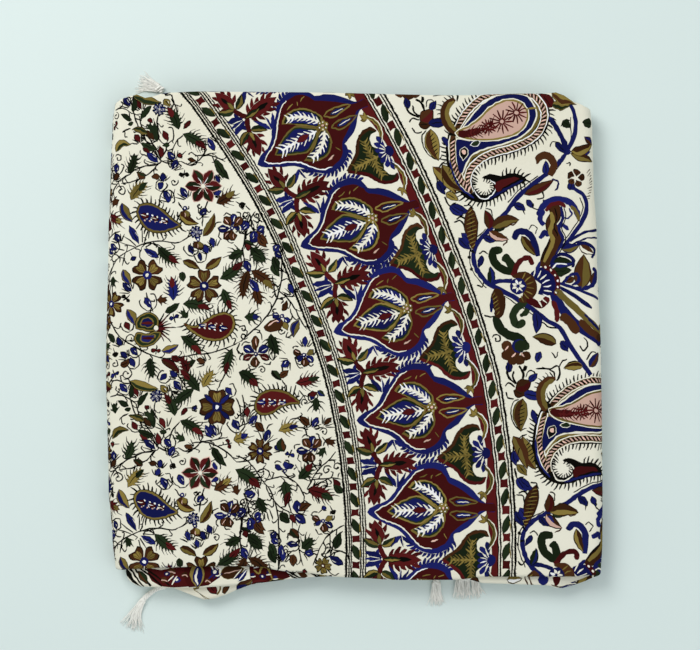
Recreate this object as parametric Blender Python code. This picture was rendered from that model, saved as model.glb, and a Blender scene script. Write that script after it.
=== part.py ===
"""A kalamkari panel: a square of printed cotton, folded in half twice each way, with its corner tassels.

X runs to the right, Y away from the front edge and Z up, in metres. The origin is under the middle of it all.

Fold one makes a strip of four plies, whose section is drawn across Y. Fold two lays that strip in four layers,
along a route drawn across X. The whole cloth is the strip's section swept along the route, then made uneven.
"""

import math

import bmesh
import bpy
import numpy as np

MM = 0.001

# The folded stack in plan
STACK_WIDTH = 361 * MM
STACK_DEPTH = 350 * MM
LEFT = -STACK_WIDTH / 2
RIGHT = STACK_WIDTH / 2
FRONT = -STACK_DEPTH / 2
BACK = STACK_DEPTH / 2

# The cloth, and the room between its plies and between its four layers of four plies
CLOTH_THICKNESS = 1.0 * MM
PLY_STEP = CLOTH_THICKNESS + 0.35 * MM
LAYER_THICKNESS = 3 * PLY_STEP + CLOTH_THICKNESS
LAYER_STEP = LAYER_THICKNESS + 0.40 * MM

# Where the plies end inside a strip, behind its front fold and before its back fold
FRONT_PUFF = 24 * MM
FIRST_HEM_BACK = 27 * MM
SECOND_HEM_BACK = 30 * MM
INNER_FOLD_BACK = 6 * MM

# Where the layers end, in from the right edge and from the spine at the left
LOWEST_END_IN = 9 * MM
THIRD_END_IN = 46 * MM
SECOND_DROP = 28 * MM
INNER_SPINE_IN = 10.6 * MM

# How uneven it lies: a crown towards the middle and a wide swell over the stack, as shares of its height
CROWN = 0.045
SWELL = 0.015
SWELL_LENGTH = 0.42

# Points along each ply, from the back edge, and along each layer, from the left edge
PLY_STATIONS = [x * MM for x in (16, 50, 130, 240, 312)]
TOP_STATIONS = [x * MM for x in (15, 22, 30, 40, 66, 104, 137, 174, 216, 254, 276, 326, 340, 347)]
SECOND_STATIONS = [x * MM for x in (24, 38, 54, 80, 104, 174, 254, 276)]
THIRD_STATIONS = [x * MM for x in (24, 38, 48, 62, 80, 104, 174, 254)]
LOWEST_STATIONS = [x * MM for x in (24, 48, 62, 104, 174, 254)]

# How far each layer's front edge reaches past a straight line, in millimetres
FRONT_COLUMNS = ("across", "top", "second", "third", "lowest")
FRONT_EDGE = (
    (0, -2.5, 5.0, 4.0, -1.0),
    (16, -3.0, 11.0, 8.0, 2.0),
    (34, -3.8, 11.6, 11.0, 6.0),
    (48, -4.2, 11.6, 21.0, 10.0),
    (62, -4.6, 11.3, 20.0, 17.0),
    (80, -5.0, 10.4, 17.0, 15.0),
    (104, -4.8, 8.7, 9.8, 8.0),
    (137, -0.7, 4.7, 5.0, 3.0),
    (174, 3.3, 2.2, 1.2, -0.5),
    (216, 5.1, 2.2, -0.5, -2.0),
    (254, 5.0, 2.4, -0.5, -2.5),
    (276, 2.8, 8.2, 3.0, 0.0),
    (326, 2.6, 9.7, 6.0, 3.0),
    (340, 2.6, 12.2, 7.0, 4.0),
    (361, 0.5, 5.0, 3.0, 1.0),
)

# How far each layer's back edge reaches past a straight line, in millimetres
BACK_COLUMNS = ("across", "top", "second", "third", "lowest")
BACK_EDGE = (
    (0, -6.0, -7.0, -7.0, -6.0),
    (8, -3.5, -4.5, -5.0, -3.8),
    (15, -0.6, -2.5, -3.5, -1.6),
    (22, -3.6, -4.2, -5.0, -3.8),
    (40, 0.4, -1.8, -4.0, -2.4),
    (66, 1.2, -0.8, -2.6, -3.6),
    (137, 0.6, -2.4, -1.2, -4.6),
    (254, -1.6, -2.8, -5.0, -2.6),
    (326, -0.4, -3.4, -4.6, -2.0),
    (337, 0.5, -2.6, -3.0, -1.6),
    (347, -6.0, -7.0, -5.0, -4.0),
    (361, -11.0, -10.0, -8.0, -7.0),
)

# How far the left and right edges reach past straight lines, in millimetres, going from back to front
SIDE_COLUMNS = ("along", "left", "right")
SIDE_EDGE = (
    (0, -5.5, -7.5),
    (16, -3.6, -6.0),
    (50, -2.2, -5.2),
    (110, -0.4, -2.6),
    (200, 1.3, 0.4),
    (290, -0.6, 1.4),
    (326, -3.4, 1.2),
    (350, -5.6, 0.0),
)

# The corners of the layers that reach past the top one in front are rounded off, by this much at each reach
LEFT_CORNER_ROUND = 0.045 / MM
RIGHT_CORNER_ROUND = 0.060 / MM

# How deep into the stack the unevenness of an edge is felt
EDGE_HOLD = 30 * MM
FRONT_FADE = 150 * MM
BACK_FADE = 90 * MM
SIDE_FADE = 90 * MM

# The tassels: where each head starts, how it heads off and ends up, and how many strands lie side by side.
# Places and lengths are in millimetres, and headings in degrees from +X.
TASSEL_COLUMNS = ("name", "x", "y", "heading", "turn", "head", "width", "strands", "length", "spread")
TASSELS = (
    ("tassel_front_left", -139.0, -187.0, 190, 76, 21, 5.0, 7, 25, 20),
    ("tassel_front_middle", 61.0, -178.0, 262, 18, 7, 6.4, 5, 18, -4),
    ("tassel_front_right", 83.5, -178.5, 264, 14, 4, 20.0, 12, 16, 26),
    ("tassel_back_left", -141.0, 178.8, 150, 15, 5, 8.0, 6, 17, 34),
)
STRAND_WIDTH = 0.9 * MM
STRAND_HEIGHT = 0.85 * MM
TIER_STEP = 1.2 * MM
HEAD_HEIGHT = 3.2 * MM
HEAD_TWIST = 0.5 * MM
HEAD_SHARE_OF_TURN = 0.6
STRAND_SWAY = 1.8
STRAND_STEPS = 5


def smooth(amount):
    """0 to 1 with level ends."""
    amount = np.clip(amount, 0.0, 1.0)
    return amount * amount * (3 - 2 * amount)


def read_table(rows, columns, name, where):
    """A column of a table at a distance in metres along its first column, eased from row to row."""
    table = np.array(rows, float) * MM
    at, value = table[:, 0], table[:, columns.index(name)]
    where = np.clip(where, at[0], at[-1])
    before = np.clip(np.searchsorted(at, where, side="right") - 1, 0, len(at) - 2)
    part = smooth((where - at[before]) / (at[before + 1] - at[before]))
    return value[before] * (1 - part) + value[before + 1] * part


def arc(centre, radius, start, end, steps):
    """Points round a centre, angles in degrees, both ends included."""
    return [
        (centre[0] + radius * math.cos(math.radians(a)), centre[1] + radius * math.sin(math.radians(a)))
        for a in np.linspace(start, end, steps + 1)
    ]


def ramp(start, end, steps):
    """Points that ease from one level to another, both ends left out."""
    parts = np.arange(1, steps) / steps
    return [
        (start[0] + (end[0] - start[0]) * part, start[1] + (end[1] - start[1]) * float(smooth(part)))
        for part in parts
    ]


def left_normals(points):
    """The unit normal on the left hand of a path, at each of its points."""
    along = np.diff(points, axis=0)
    along /= np.linalg.norm(along, axis=1, keepdims=True)
    both = np.vstack([along[:1], along[:-1] + along[1:], along[-1:]])
    both /= np.linalg.norm(both, axis=1, keepdims=True)
    return np.stack([-both[:, 1], both[:, 0]], 1)


def strip_path():
    """The middle of the cloth across Y and up, through the four plies of a strip, from hem to hem."""
    lowest, second, third, top = (PLY_STEP * x for x in (-1.5, -0.5, 0.5, 1.5))
    half = CLOTH_THICKNESS / 2
    wide, narrow = 1.5 * PLY_STEP, 0.5 * PLY_STEP
    stations = [BACK - x for x in PLY_STATIONS]
    fold = FRONT + half + wide
    puff = FRONT + FRONT_PUFF
    inner = BACK - INNER_FOLD_BACK

    path = [(FRONT + FIRST_HEM_BACK, lowest)]
    path += [(y, lowest) for y in reversed(stations)]
    path += arc((BACK - half - wide, 0), wide, -90, 90, 5)
    path += [(y, top) for y in stations]
    path += arc((fold, 0), wide, 90, 270, 6)
    path += ramp((fold, lowest), (puff, third), 4)
    path += [(puff, third)]
    path += [(y, third) for y in reversed(stations)]
    path += arc((inner, 0), narrow, 90, -90, 3)
    path += [(y, second) for y in stations]
    path += [(FRONT + SECOND_HEM_BACK, second)]
    return np.array(path)


def strip_section():
    """Both faces of the cloth through a strip, as a closed outline across Y and up."""
    middle = strip_path()
    offset = left_normals(middle) * (CLOTH_THICKNESS / 2)
    return np.vstack([middle + offset, (middle - offset)[::-1]])


def strip_route():
    """The middle of the strip across X and up, with the layer of each point, from the lowest end to the third's.

    A layer is given as two columns of the edges' tables and the share of the second one.
    """
    low, third, second, top = (LAYER_THICKNESS / 2 + LAYER_STEP * x for x in range(4))
    half = LAYER_THICKNESS / 2
    spine = 1.5 * LAYER_STEP
    spine_centre = (LEFT + half + spine, (low + top) / 2)
    side_fold = LAYER_STEP
    side_centre = (RIGHT - half - side_fold, (top + third) / 2)
    inner_centre = (LEFT + half + INNER_SPINE_IN, (second + third) / 2)
    drop_end = side_centre[0] - SECOND_DROP

    route, layers = [], []

    def add(points, start, end):
        parts = np.linspace(0, 1, len(points))
        route.extend(points)
        layers.extend((start, end, part) for part in parts)

    add([(RIGHT - LOWEST_END_IN, low)], "lowest", "lowest")
    add([(LEFT + x, low) for x in reversed(LOWEST_STATIONS)], "lowest", "lowest")
    add(arc(spine_centre, spine, 270, 90, 7), "lowest", "top")
    add([(LEFT + x, top) for x in TOP_STATIONS], "top", "top")
    add(arc(side_centre, side_fold, 90, -90, 5), "top", "second")
    add(ramp((side_centre[0], third), (drop_end, second), 3), "second", "second")
    add([(drop_end, second)], "second", "second")
    add([(LEFT + x, second) for x in reversed(SECOND_STATIONS)], "second", "second")
    add(arc(inner_centre, LAYER_STEP / 2, 90, 270, 4), "second", "third")
    add([(LEFT + x, third) for x in THIRD_STATIONS], "third", "third")
    add([(RIGHT - THIRD_END_IN, third)], "third", "third")
    return np.array(route), layers


def uneven(points, layer):
    """Moves points of the neat stack to where the softly folded one has them."""
    x, y, z = points.T
    start, end, share = layer
    across = x - LEFT
    along = BACK - y

    def reach(rows, columns):
        first, second = (read_table(rows, columns, name, across) for name in (start, end))
        return first * (1 - share) + second * share

    near_front = smooth(1 - (y - FRONT - EDGE_HOLD) / FRONT_FADE)
    near_back = smooth(1 - (BACK - y - EDGE_HOLD) / BACK_FADE)
    moved_y = y - reach(FRONT_EDGE, FRONT_COLUMNS) * near_front + reach(BACK_EDGE, BACK_COLUMNS) * near_back

    near_left = smooth(1 - (across - EDGE_HOLD) / SIDE_FADE)
    near_right = smooth(1 - (STACK_WIDTH - across - EDGE_HOLD) / SIDE_FADE)
    ahead = np.maximum(FRONT - moved_y, 0.0) ** 2
    left = read_table(SIDE_EDGE, SIDE_COLUMNS, "left", along) - ahead * LEFT_CORNER_ROUND
    right = read_table(SIDE_EDGE, SIDE_COLUMNS, "right", along) - ahead * RIGHT_CORNER_ROUND
    moved_x = x - left * near_left + right * near_right

    crown = (1 - np.abs(x / RIGHT) ** 4) * (1 - np.minimum(np.abs(y / BACK), 1) ** 4)
    swell = 1 + np.sin(2 * np.pi * (moved_x * 0.8 + moved_y) / SWELL_LENGTH + 1.1) / 2
    swell = swell + np.cos(2 * np.pi * (moved_x - 0.6 * moved_y) / SWELL_LENGTH - 0.4) / 2
    return np.stack([moved_x, moved_y, z * (1 + CROWN * crown + SWELL * swell)], 1)


def cloth_mesh():
    """The whole cloth: the strip's section at every point of the route, joined up and closed at both ends."""
    section = strip_section()
    route, layers = strip_route()
    normals = left_normals(route)
    count = len(section)

    bm = bmesh.new()
    rings = []
    for place, normal, layer in zip(route, normals, layers):
        flat = place + section[:, 1:] * normal
        points = uneven(np.stack([flat[:, 0], section[:, 0], flat[:, 1]], 1), layer)
        rings.append([bm.verts.new(point) for point in points])
    for ring, following in zip(rings, rings[1:]):
        for i in range(count):
            j = (i + 1) % count
            bm.faces.new((ring[i], ring[j], following[j], following[i]))
    for ring, turned in ((rings[0], True), (rings[-1], False)):
        for i in range(count // 2 - 1):
            corners = (ring[i], ring[i + 1], ring[count - 2 - i], ring[count - 1 - i])
            bm.faces.new(corners[::-1] if turned else corners)
    return bm


def heading_vector(degrees):
    return np.array([math.cos(math.radians(degrees)), math.sin(math.radians(degrees))])


def walk(start, heading, turn, length, steps):
    """Points and headings along a level path that turns evenly as it goes."""
    place, places, headings = np.array(start, float), [], []
    for i in range(steps + 1):
        angle = heading + turn * i / steps
        places.append(place.copy())
        headings.append(angle)
        place = place + heading_vector(angle + turn / steps / 2) * length / steps
    return places, headings


def tassel_mesh(row):
    """A twisted head that lies on the surface, opening into two tiers of strands that lie side by side."""
    across = row["strands"]
    width = row["width"] * MM
    collar = max(width, across * (STRAND_WIDTH + 0.45 * MM))
    head_turn = row["turn"] * HEAD_SHARE_OF_TURN
    places, headings = walk((row["x"] * MM, row["y"] * MM), row["heading"], head_turn, row["head"] * MM, 4)
    tiers = (0.0, TIER_STEP, TIER_STEP + STRAND_HEIGHT + 0.3 * MM)

    bm = bmesh.new()
    rings = []
    for i, (place, heading) in enumerate(zip(places, headings)):
        part = i / (len(places) - 1)
        side = heading_vector(heading - 90)
        half = (width * 0.28 + (collar / 2 - width * 0.28) * part**2) + HEAD_TWIST * (i % 2) * (1 - part)
        top = HEAD_HEIGHT + (tiers[2] - HEAD_HEIGHT) * part
        heights = (0.0, top * tiers[1] / tiers[2], top)
        ring = [[None] * (across + 1) for _ in heights]
        for level, height in enumerate(heights):
            for k in range(across + 1):
                if level == 1 and 0 < k < across and part < 1:
                    continue
                spot = place + side * half * (2 * k / across - 1)
                ring[level][k] = bm.verts.new((*spot, height))
        rings.append(ring)

    def outline(ring):
        return ring[0] + [ring[1][-1]] + ring[2][::-1] + [ring[1][0]]

    for ring, following in zip(rings, rings[1:]):
        before, after = outline(ring), outline(following)
        for i in range(len(before)):
            j = (i + 1) % len(before)
            bm.faces.new((before[i], before[j], after[j], after[i]))
    bm.faces.new(outline(rings[0])[::-1])

    collar_place, collar_heading = places[-1], headings[-1]
    side = heading_vector(collar_heading - 90)
    for tier in range(2):
        for k in range(across):
            ring = rings[-1]
            corners = [ring[tier][k], ring[tier][k + 1], ring[tier + 1][k + 1], ring[tier + 1][k]]
            share = (k + 0.5) / across * 2 - 1
            start = collar_place + side * (collar / 2) * share
            fan = -share * row["spread"] / 2 * (1 - 0.35 * tier)
            sway = STRAND_SWAY * math.sin(2.4 * k + 1.9 * tier)
            length = row["length"] * MM * (1 - 0.10 * tier - 0.08 * abs(math.sin(1.7 * k + tier)))
            bend = row["turn"] * (1 - HEAD_SHARE_OF_TURN) + sway * (tier - 0.5)
            path, ways = walk(start, collar_heading + fan * 0.4, bend + fan * 0.6, length, STRAND_STEPS)
            for step in range(1, STRAND_STEPS + 1):
                across_way = heading_vector(ways[step] - 90) * STRAND_WIDTH / 2
                low = tier * TIER_STEP
                high = low + STRAND_HEIGHT
                spots = (
                    (*(path[step] - across_way), low),
                    (*(path[step] + across_way), low),
                    (*(path[step] + across_way), high),
                    (*(path[step] - across_way), high),
                )
                after = [bm.verts.new(spot) for spot in spots]
                for i in range(4):
                    j = (i + 1) % 4
                    bm.faces.new((corners[i], corners[j], after[j], after[i]))
                corners = after
            bm.faces.new(corners)
    return bm


def make_material(name, colour, roughness):
    material = bpy.data.materials.new(name)
    material.use_nodes = True
    shader = material.node_tree.nodes["Principled BSDF"]
    shader.inputs["Base Color"].default_value = (*colour, 1.0)
    shader.inputs["Roughness"].default_value = roughness
    shader.inputs["Metallic"].default_value = 0.0
    return material


def make_object(name, bm, material):
    bmesh.ops.recalc_face_normals(bm, faces=bm.faces)
    mesh = bpy.data.meshes.new(name)
    bm.to_mesh(mesh)
    bm.free()
    mesh.materials.append(material)
    made = bpy.data.objects.new(name, mesh)
    bpy.context.scene.collection.objects.link(made)
    return made


def stand_on_origin(objects):
    """Moves everything so that the middle of the box round it is over the origin."""
    points = np.array([vertex.co for made in objects for vertex in made.data.vertices])
    middle = (points.min(0) + points.max(0)) / 2
    for made in objects:
        made.location = (-middle[0], -middle[1], 0)


def main():
    for old in list(bpy.data.objects):
        bpy.data.objects.remove(old)
    cotton = make_material("printed_cotton", (0.40, 0.33, 0.27), 0.85)
    yarn = make_material("tassel_yarn", (0.80, 0.78, 0.72), 0.90)
    made = [make_object("cloth", cloth_mesh(), cotton)]
    for values in TASSELS:
        row = dict(zip(TASSEL_COLUMNS, values))
        made.append(make_object(row["name"], tassel_mesh(row), yarn))
    stand_on_origin(made)


main()
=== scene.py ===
"""The looks of a folded kalamkari panel: printed cotton in sixteen plies, with tassels on its edges.

The cloth repeats the folds of the part's solid with finer steps and a thinner sheet. The print lies on it as
shapes of dye. They are drawn in a drawing unit of DRAWN metres, X to the right and Y towards the front, with
the sheet's middle at DRAWN_MIDDLE, and are then laid over the folds.
"""

import math

import bpy
import numpy as np
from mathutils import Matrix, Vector
from mathutils.geometry import tessellate_polygon


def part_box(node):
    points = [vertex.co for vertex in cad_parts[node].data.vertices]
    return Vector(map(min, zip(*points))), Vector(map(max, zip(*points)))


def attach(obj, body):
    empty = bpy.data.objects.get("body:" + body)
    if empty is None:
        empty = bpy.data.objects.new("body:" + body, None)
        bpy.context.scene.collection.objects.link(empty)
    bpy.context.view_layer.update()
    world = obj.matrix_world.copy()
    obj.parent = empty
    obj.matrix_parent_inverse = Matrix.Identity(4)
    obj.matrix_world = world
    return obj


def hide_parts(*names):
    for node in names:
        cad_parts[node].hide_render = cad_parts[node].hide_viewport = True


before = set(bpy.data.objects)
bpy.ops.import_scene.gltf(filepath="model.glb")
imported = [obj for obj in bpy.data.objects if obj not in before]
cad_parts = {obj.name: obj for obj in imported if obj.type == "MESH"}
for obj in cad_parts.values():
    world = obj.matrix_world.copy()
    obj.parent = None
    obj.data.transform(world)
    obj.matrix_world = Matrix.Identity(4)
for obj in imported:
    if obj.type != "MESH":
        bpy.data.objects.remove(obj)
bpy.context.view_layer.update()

MM = 0.001

# The folded stack in plan
STACK_WIDTH = 361 * MM
STACK_DEPTH = 350 * MM
LEFT = -STACK_WIDTH / 2
RIGHT = STACK_WIDTH / 2
FRONT = -STACK_DEPTH / 2
BACK = STACK_DEPTH / 2

# The solid's plies and layers, and the thinner sheet that is shown on their middle
SOLID_THICKNESS = 1.0 * MM
SHEET_THICKNESS = 0.7 * MM
PLY_STEP = SOLID_THICKNESS + 0.35 * MM
LAYER_THICKNESS = 3 * PLY_STEP + SOLID_THICKNESS
LAYER_STEP = LAYER_THICKNESS + 0.40 * MM

# Where the plies end inside a strip, behind its front fold and before its back fold
FRONT_PUFF = 24 * MM
FIRST_HEM_BACK = 27 * MM
SECOND_HEM_BACK = 30 * MM
INNER_FOLD_BACK = 6 * MM

# Where the layers end, in from the right edge and from the spine at the left
LOWEST_END_IN = 9 * MM
THIRD_END_IN = 46 * MM
SECOND_DROP = 28 * MM
INNER_SPINE_IN = 10.6 * MM

# How uneven it lies: a crown, a wide swell and small soft waves, as shares of its height
CROWN = 0.045
SWELL = 0.015
SWELL_LENGTH = 0.42
WAVE = 0.012
# The lengths in metres of the small waves, and of the slower ones that bend them
WAVE_ACROSS = 0.017
WAVE_ALONG = 0.021
BEND_ACROSS = 0.053
BEND_ALONG = 0.041
CREASE_SWAY = 4 * MM
CREASE_SWAY_LENGTH = 11 * MM
CREASE_COLUMNS = ("x", "y", "heading", "length", "width", "depth")
CREASES = (
    (-128, -150, 22, 60, 7, -0.030),
    (-60, -160, 172, 70, 8, 0.022),
    (30, -158, 10, 80, 7, -0.020),
    (120, -150, 165, 70, 8, 0.024),
    (-158, -20, 84, 90, 8, -0.022),
    (-150, 120, 70, 60, 7, 0.020),
    (20, 160, 176, 90, 8, -0.020),
    (150, 130, 118, 60, 7, -0.028),
    (158, -40, 94, 90, 8, 0.022),
    (60, 30, 38, 120, 12, 0.012),
    (-50, 60, 140, 120, 12, -0.012),
)

# Steps along the top of the sheet, where it is seen, and at its folds
TOP_STEP = 6 * MM
BACK_STEPS = 10
FRONT_STEPS = 12
PUFF_STEPS = 8
SPINE_STEPS = 16
SIDE_STEPS = 12
INNER_FOLD_STEPS = 4
INNER_SPINE_STEPS = 6
DROP_STEPS = 5
HIDDEN_STATIONS = [x * MM for x in (16, 50, 130, 240, 312)]
LAYER_STATIONS = [
    x * MM for x in (15, 24, 34, 41, 48, 55, 62, 71, 80, 92, 104, 120, 137, 174, 216, 254, 265, 276, 300)
]

LAYERS = ("top", "second", "third", "lowest")

# How far each layer's front edge reaches past a straight line, in millimetres
FRONT_EDGE = (
    (0, -2.5, 5.0, 4.0, -1.0),
    (16, -3.0, 11.0, 8.0, 2.0),
    (34, -3.8, 11.6, 11.0, 6.0),
    (48, -4.2, 11.6, 21.0, 10.0),
    (62, -4.6, 11.3, 20.0, 17.0),
    (80, -5.0, 10.4, 17.0, 15.0),
    (104, -4.8, 8.7, 9.8, 8.0),
    (137, -0.7, 4.7, 5.0, 3.0),
    (174, 3.3, 2.2, 1.2, -0.5),
    (216, 5.1, 2.2, -0.5, -2.0),
    (254, 5.0, 2.4, -0.5, -2.5),
    (276, 2.8, 8.2, 3.0, 0.0),
    (326, 2.6, 9.7, 6.0, 3.0),
    (340, 2.6, 12.2, 7.0, 4.0),
    (361, 0.5, 5.0, 3.0, 1.0),
)

# How far each layer's back edge reaches past a straight line, in millimetres
BACK_EDGE = (
    (0, -6.0, -7.0, -7.0, -6.0),
    (8, -3.5, -4.5, -5.0, -3.8),
    (15, -0.6, -2.5, -3.5, -1.6),
    (22, -3.6, -4.2, -5.0, -3.8),
    (40, 0.4, -1.8, -4.0, -2.4),
    (66, 1.2, -0.8, -2.6, -3.6),
    (137, 0.6, -2.4, -1.2, -4.6),
    (254, -1.6, -2.8, -5.0, -2.6),
    (326, -0.4, -3.4, -4.6, -2.0),
    (337, 0.5, -2.6, -3.0, -1.6),
    (347, -6.0, -7.0, -5.0, -4.0),
    (361, -11.0, -10.0, -8.0, -7.0),
)

# How far the left and right edges reach past straight lines, in millimetres, going from back to front
SIDE_EDGE = (
    (0, -5.5, -7.5),
    (16, -3.6, -6.0),
    (50, -2.2, -5.2),
    (110, -0.4, -2.6),
    (200, 1.3, 0.4),
    (290, -0.6, 1.4),
    (326, -3.4, 1.2),
    (350, -5.6, 0.0),
)
LEFT_CORNER_ROUND = 0.045 / MM
RIGHT_CORNER_ROUND = 0.060 / MM

# How deep into the stack the unevenness of an edge is felt
EDGE_HOLD = 30 * MM
FRONT_FADE = 150 * MM
BACK_FADE = 90 * MM
SIDE_FADE = 90 * MM

# The drawing unit of the print, and the place in the drawing of the stack's middle
DRAWN = 0.727 * MM
DRAWN_MIDDLE = (354.0, 333.0)

# How nearly upright a face of the neat stack is where it counts as level
UPRIGHT = 0.99


# Soft steps, tables and paths


def smooth(amount):
    """0 to 1 with level ends."""
    amount = np.clip(amount, 0.0, 1.0)
    return amount * amount * (3 - 2 * amount)


def read_table(rows, column, where):
    """A column of a table at a distance in metres along its first column, eased from row to row."""
    table = np.array(rows, float) * MM
    at, value = table[:, 0], table[:, column]
    where = np.clip(where, at[0], at[-1])
    before = np.clip(np.searchsorted(at, where, side="right") - 1, 0, len(at) - 2)
    part = smooth((where - at[before]) / (at[before + 1] - at[before]))
    return value[before] * (1 - part) + value[before + 1] * part


def arc(centre, radius, start, end, steps):
    """Points round a centre, angles in degrees, both ends included."""
    return [
        (centre[0] + radius * math.cos(math.radians(a)), centre[1] + radius * math.sin(math.radians(a)))
        for a in np.linspace(start, end, steps + 1)
    ]


def ramp(start, end, steps):
    """Points that ease from one level to another, both ends left out."""
    parts = np.arange(1, steps) / steps
    return [
        (start[0] + (end[0] - start[0]) * part, start[1] + (end[1] - start[1]) * float(smooth(part)))
        for part in parts
    ]


def left_normals(points):
    """The unit normal on the left hand of a path, at each of its points."""
    along = np.diff(points, axis=0)
    along /= np.linalg.norm(along, axis=1, keepdims=True)
    both = np.vstack([along[:1], along[:-1] + along[1:], along[-1:]])
    both /= np.linalg.norm(both, axis=1, keepdims=True)
    return np.stack([-both[:, 1], both[:, 0]], 1)


def run_length(points):
    """How far along a path each of its points is."""
    return np.concatenate([[0.0], np.cumsum(np.linalg.norm(np.diff(points, axis=0), axis=1))])


def even_steps(start, end, step):
    """Places from start to end, both included, about a step apart."""
    return np.linspace(start, end, max(2, int(round(abs(end - start) / step)) + 1))


# The folds


def strip_path():
    """The middle of the cloth across Y and up, through the four plies of a strip, from hem to hem."""
    lowest, second, third, top = (PLY_STEP * x for x in (-1.5, -0.5, 0.5, 1.5))
    half = SOLID_THICKNESS / 2
    wide, narrow = 1.5 * PLY_STEP, 0.5 * PLY_STEP
    stations = [BACK - x for x in HIDDEN_STATIONS]
    back_end = BACK - half - wide
    fold = FRONT + half + wide
    puff = FRONT + FRONT_PUFF
    inner = BACK - INNER_FOLD_BACK

    path = [(FRONT + FIRST_HEM_BACK, lowest)]
    path += [(y, lowest) for y in reversed(stations)]
    path += arc((back_end, 0), wide, -90, 90, BACK_STEPS)
    path += [(y, top) for y in even_steps(back_end, fold, TOP_STEP)[1:-1]]
    path += arc((fold, 0), wide, 90, 270, FRONT_STEPS)
    path += ramp((fold, lowest), (puff, third), PUFF_STEPS)
    path += [(puff, third)]
    path += [(y, third) for y in reversed(stations)]
    path += arc((inner, 0), narrow, 90, -90, INNER_FOLD_STEPS)
    path += [(y, second) for y in stations]
    path += [(FRONT + SECOND_HEM_BACK, second)]
    return np.array(path)


def strip_route():
    """The middle of the strip across X and up, and how much each point belongs to each layer."""
    low, third, second, top = (LAYER_THICKNESS / 2 + LAYER_STEP * x for x in range(4))
    half = LAYER_THICKNESS / 2
    spine = 1.5 * LAYER_STEP
    spine_centre = (LEFT + half + spine, (low + top) / 2)
    side_fold = LAYER_STEP
    side_centre = (RIGHT - half - side_fold, (top + third) / 2)
    inner_centre = (LEFT + half + INNER_SPINE_IN, (second + third) / 2)
    drop_end = side_centre[0] - SECOND_DROP
    route, shares = [], []

    def add(points, start, end):
        parts = np.linspace(0, 1, len(points))
        row = np.eye(len(LAYERS))
        before, after = row[LAYERS.index(start)], row[LAYERS.index(end)]
        route.extend(points)
        shares.extend(before * (1 - part) + after * part for part in parts)

    add([(RIGHT - LOWEST_END_IN, low)], "lowest", "lowest")
    add([(LEFT + x, low) for x in reversed(LAYER_STATIONS[1:])], "lowest", "lowest")
    add(arc(spine_centre, spine, 270, 90, SPINE_STEPS), "lowest", "top")
    add([(x, top) for x in even_steps(spine_centre[0], side_centre[0], TOP_STEP)[1:-1]], "top", "top")
    add(arc(side_centre, side_fold, 90, -90, SIDE_STEPS), "top", "second")
    add(ramp((side_centre[0], third), (drop_end, second), DROP_STEPS), "second", "second")
    add([(drop_end, second)], "second", "second")
    add([(LEFT + x, second) for x in reversed(LAYER_STATIONS[1:])], "second", "second")
    add(arc(inner_centre, LAYER_STEP / 2, 90, 270, INNER_SPINE_STEPS), "second", "third")
    add([(LEFT + x, third) for x in LAYER_STATIONS[1:-1]], "third", "third")
    add([(RIGHT - THIRD_END_IN, third)], "third", "third")
    return np.array(route), np.array(shares)


def soft_waves(x, y):
    """Small waves and creases, as a share of the height."""
    one = np.sin(x / WAVE_ACROSS + 1.3 * np.sin(y / BEND_ALONG))
    other = np.sin(y / WAVE_ALONG + 0.8 * np.sin(x / BEND_ACROSS + 1.0))
    relief = WAVE * (one * other)
    for values in CREASES:
        row = dict(zip(CREASE_COLUMNS, values))
        heading = math.radians(row["heading"])
        dx, dy = x - row["x"] * MM, y - row["y"] * MM
        along = dx * math.cos(heading) + dy * math.sin(heading)
        aside = dy * math.cos(heading) - dx * math.sin(heading)
        aside = aside + CREASE_SWAY * np.sin(along / CREASE_SWAY_LENGTH)
        fall = np.exp(-((aside / (row["width"] * MM)) ** 2) - (2 * along / (row["length"] * MM)) ** 2)
        relief = relief + row["depth"] * fall
    return relief


def uneven(points, shares):
    """Moves points of the neat stack to where the softly folded one has them."""
    x, y, z = points.T
    across = x - LEFT
    along = BACK - y

    def reach(rows):
        return sum(read_table(rows, i + 1, across) * shares[:, i] for i in range(len(LAYERS)))

    near_front = smooth(1 - (y - FRONT - EDGE_HOLD) / FRONT_FADE)
    near_back = smooth(1 - (BACK - y - EDGE_HOLD) / BACK_FADE)
    moved_y = y - reach(FRONT_EDGE) * near_front + reach(BACK_EDGE) * near_back

    near_left = smooth(1 - (across - EDGE_HOLD) / SIDE_FADE)
    near_right = smooth(1 - (STACK_WIDTH - across - EDGE_HOLD) / SIDE_FADE)
    ahead = np.maximum(FRONT - moved_y, 0.0) ** 2
    left = read_table(SIDE_EDGE, 1, along) - ahead * LEFT_CORNER_ROUND
    right = read_table(SIDE_EDGE, 2, along) - ahead * RIGHT_CORNER_ROUND
    moved_x = x - left * near_left + right * near_right

    crown = (1 - np.abs(x / RIGHT) ** 4) * (1 - np.minimum(np.abs(y / BACK), 1) ** 4)
    swell = 1 + np.sin(2 * np.pi * (moved_x * 0.8 + moved_y) / SWELL_LENGTH + 1.1) / 2
    swell = swell + np.cos(2 * np.pi * (moved_x - 0.6 * moved_y) / SWELL_LENGTH - 0.4) / 2
    lift = 1 + CROWN * crown + SWELL * swell + soft_waves(moved_x, moved_y)
    return np.stack([moved_x, moved_y, z * lift], 1)


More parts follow.
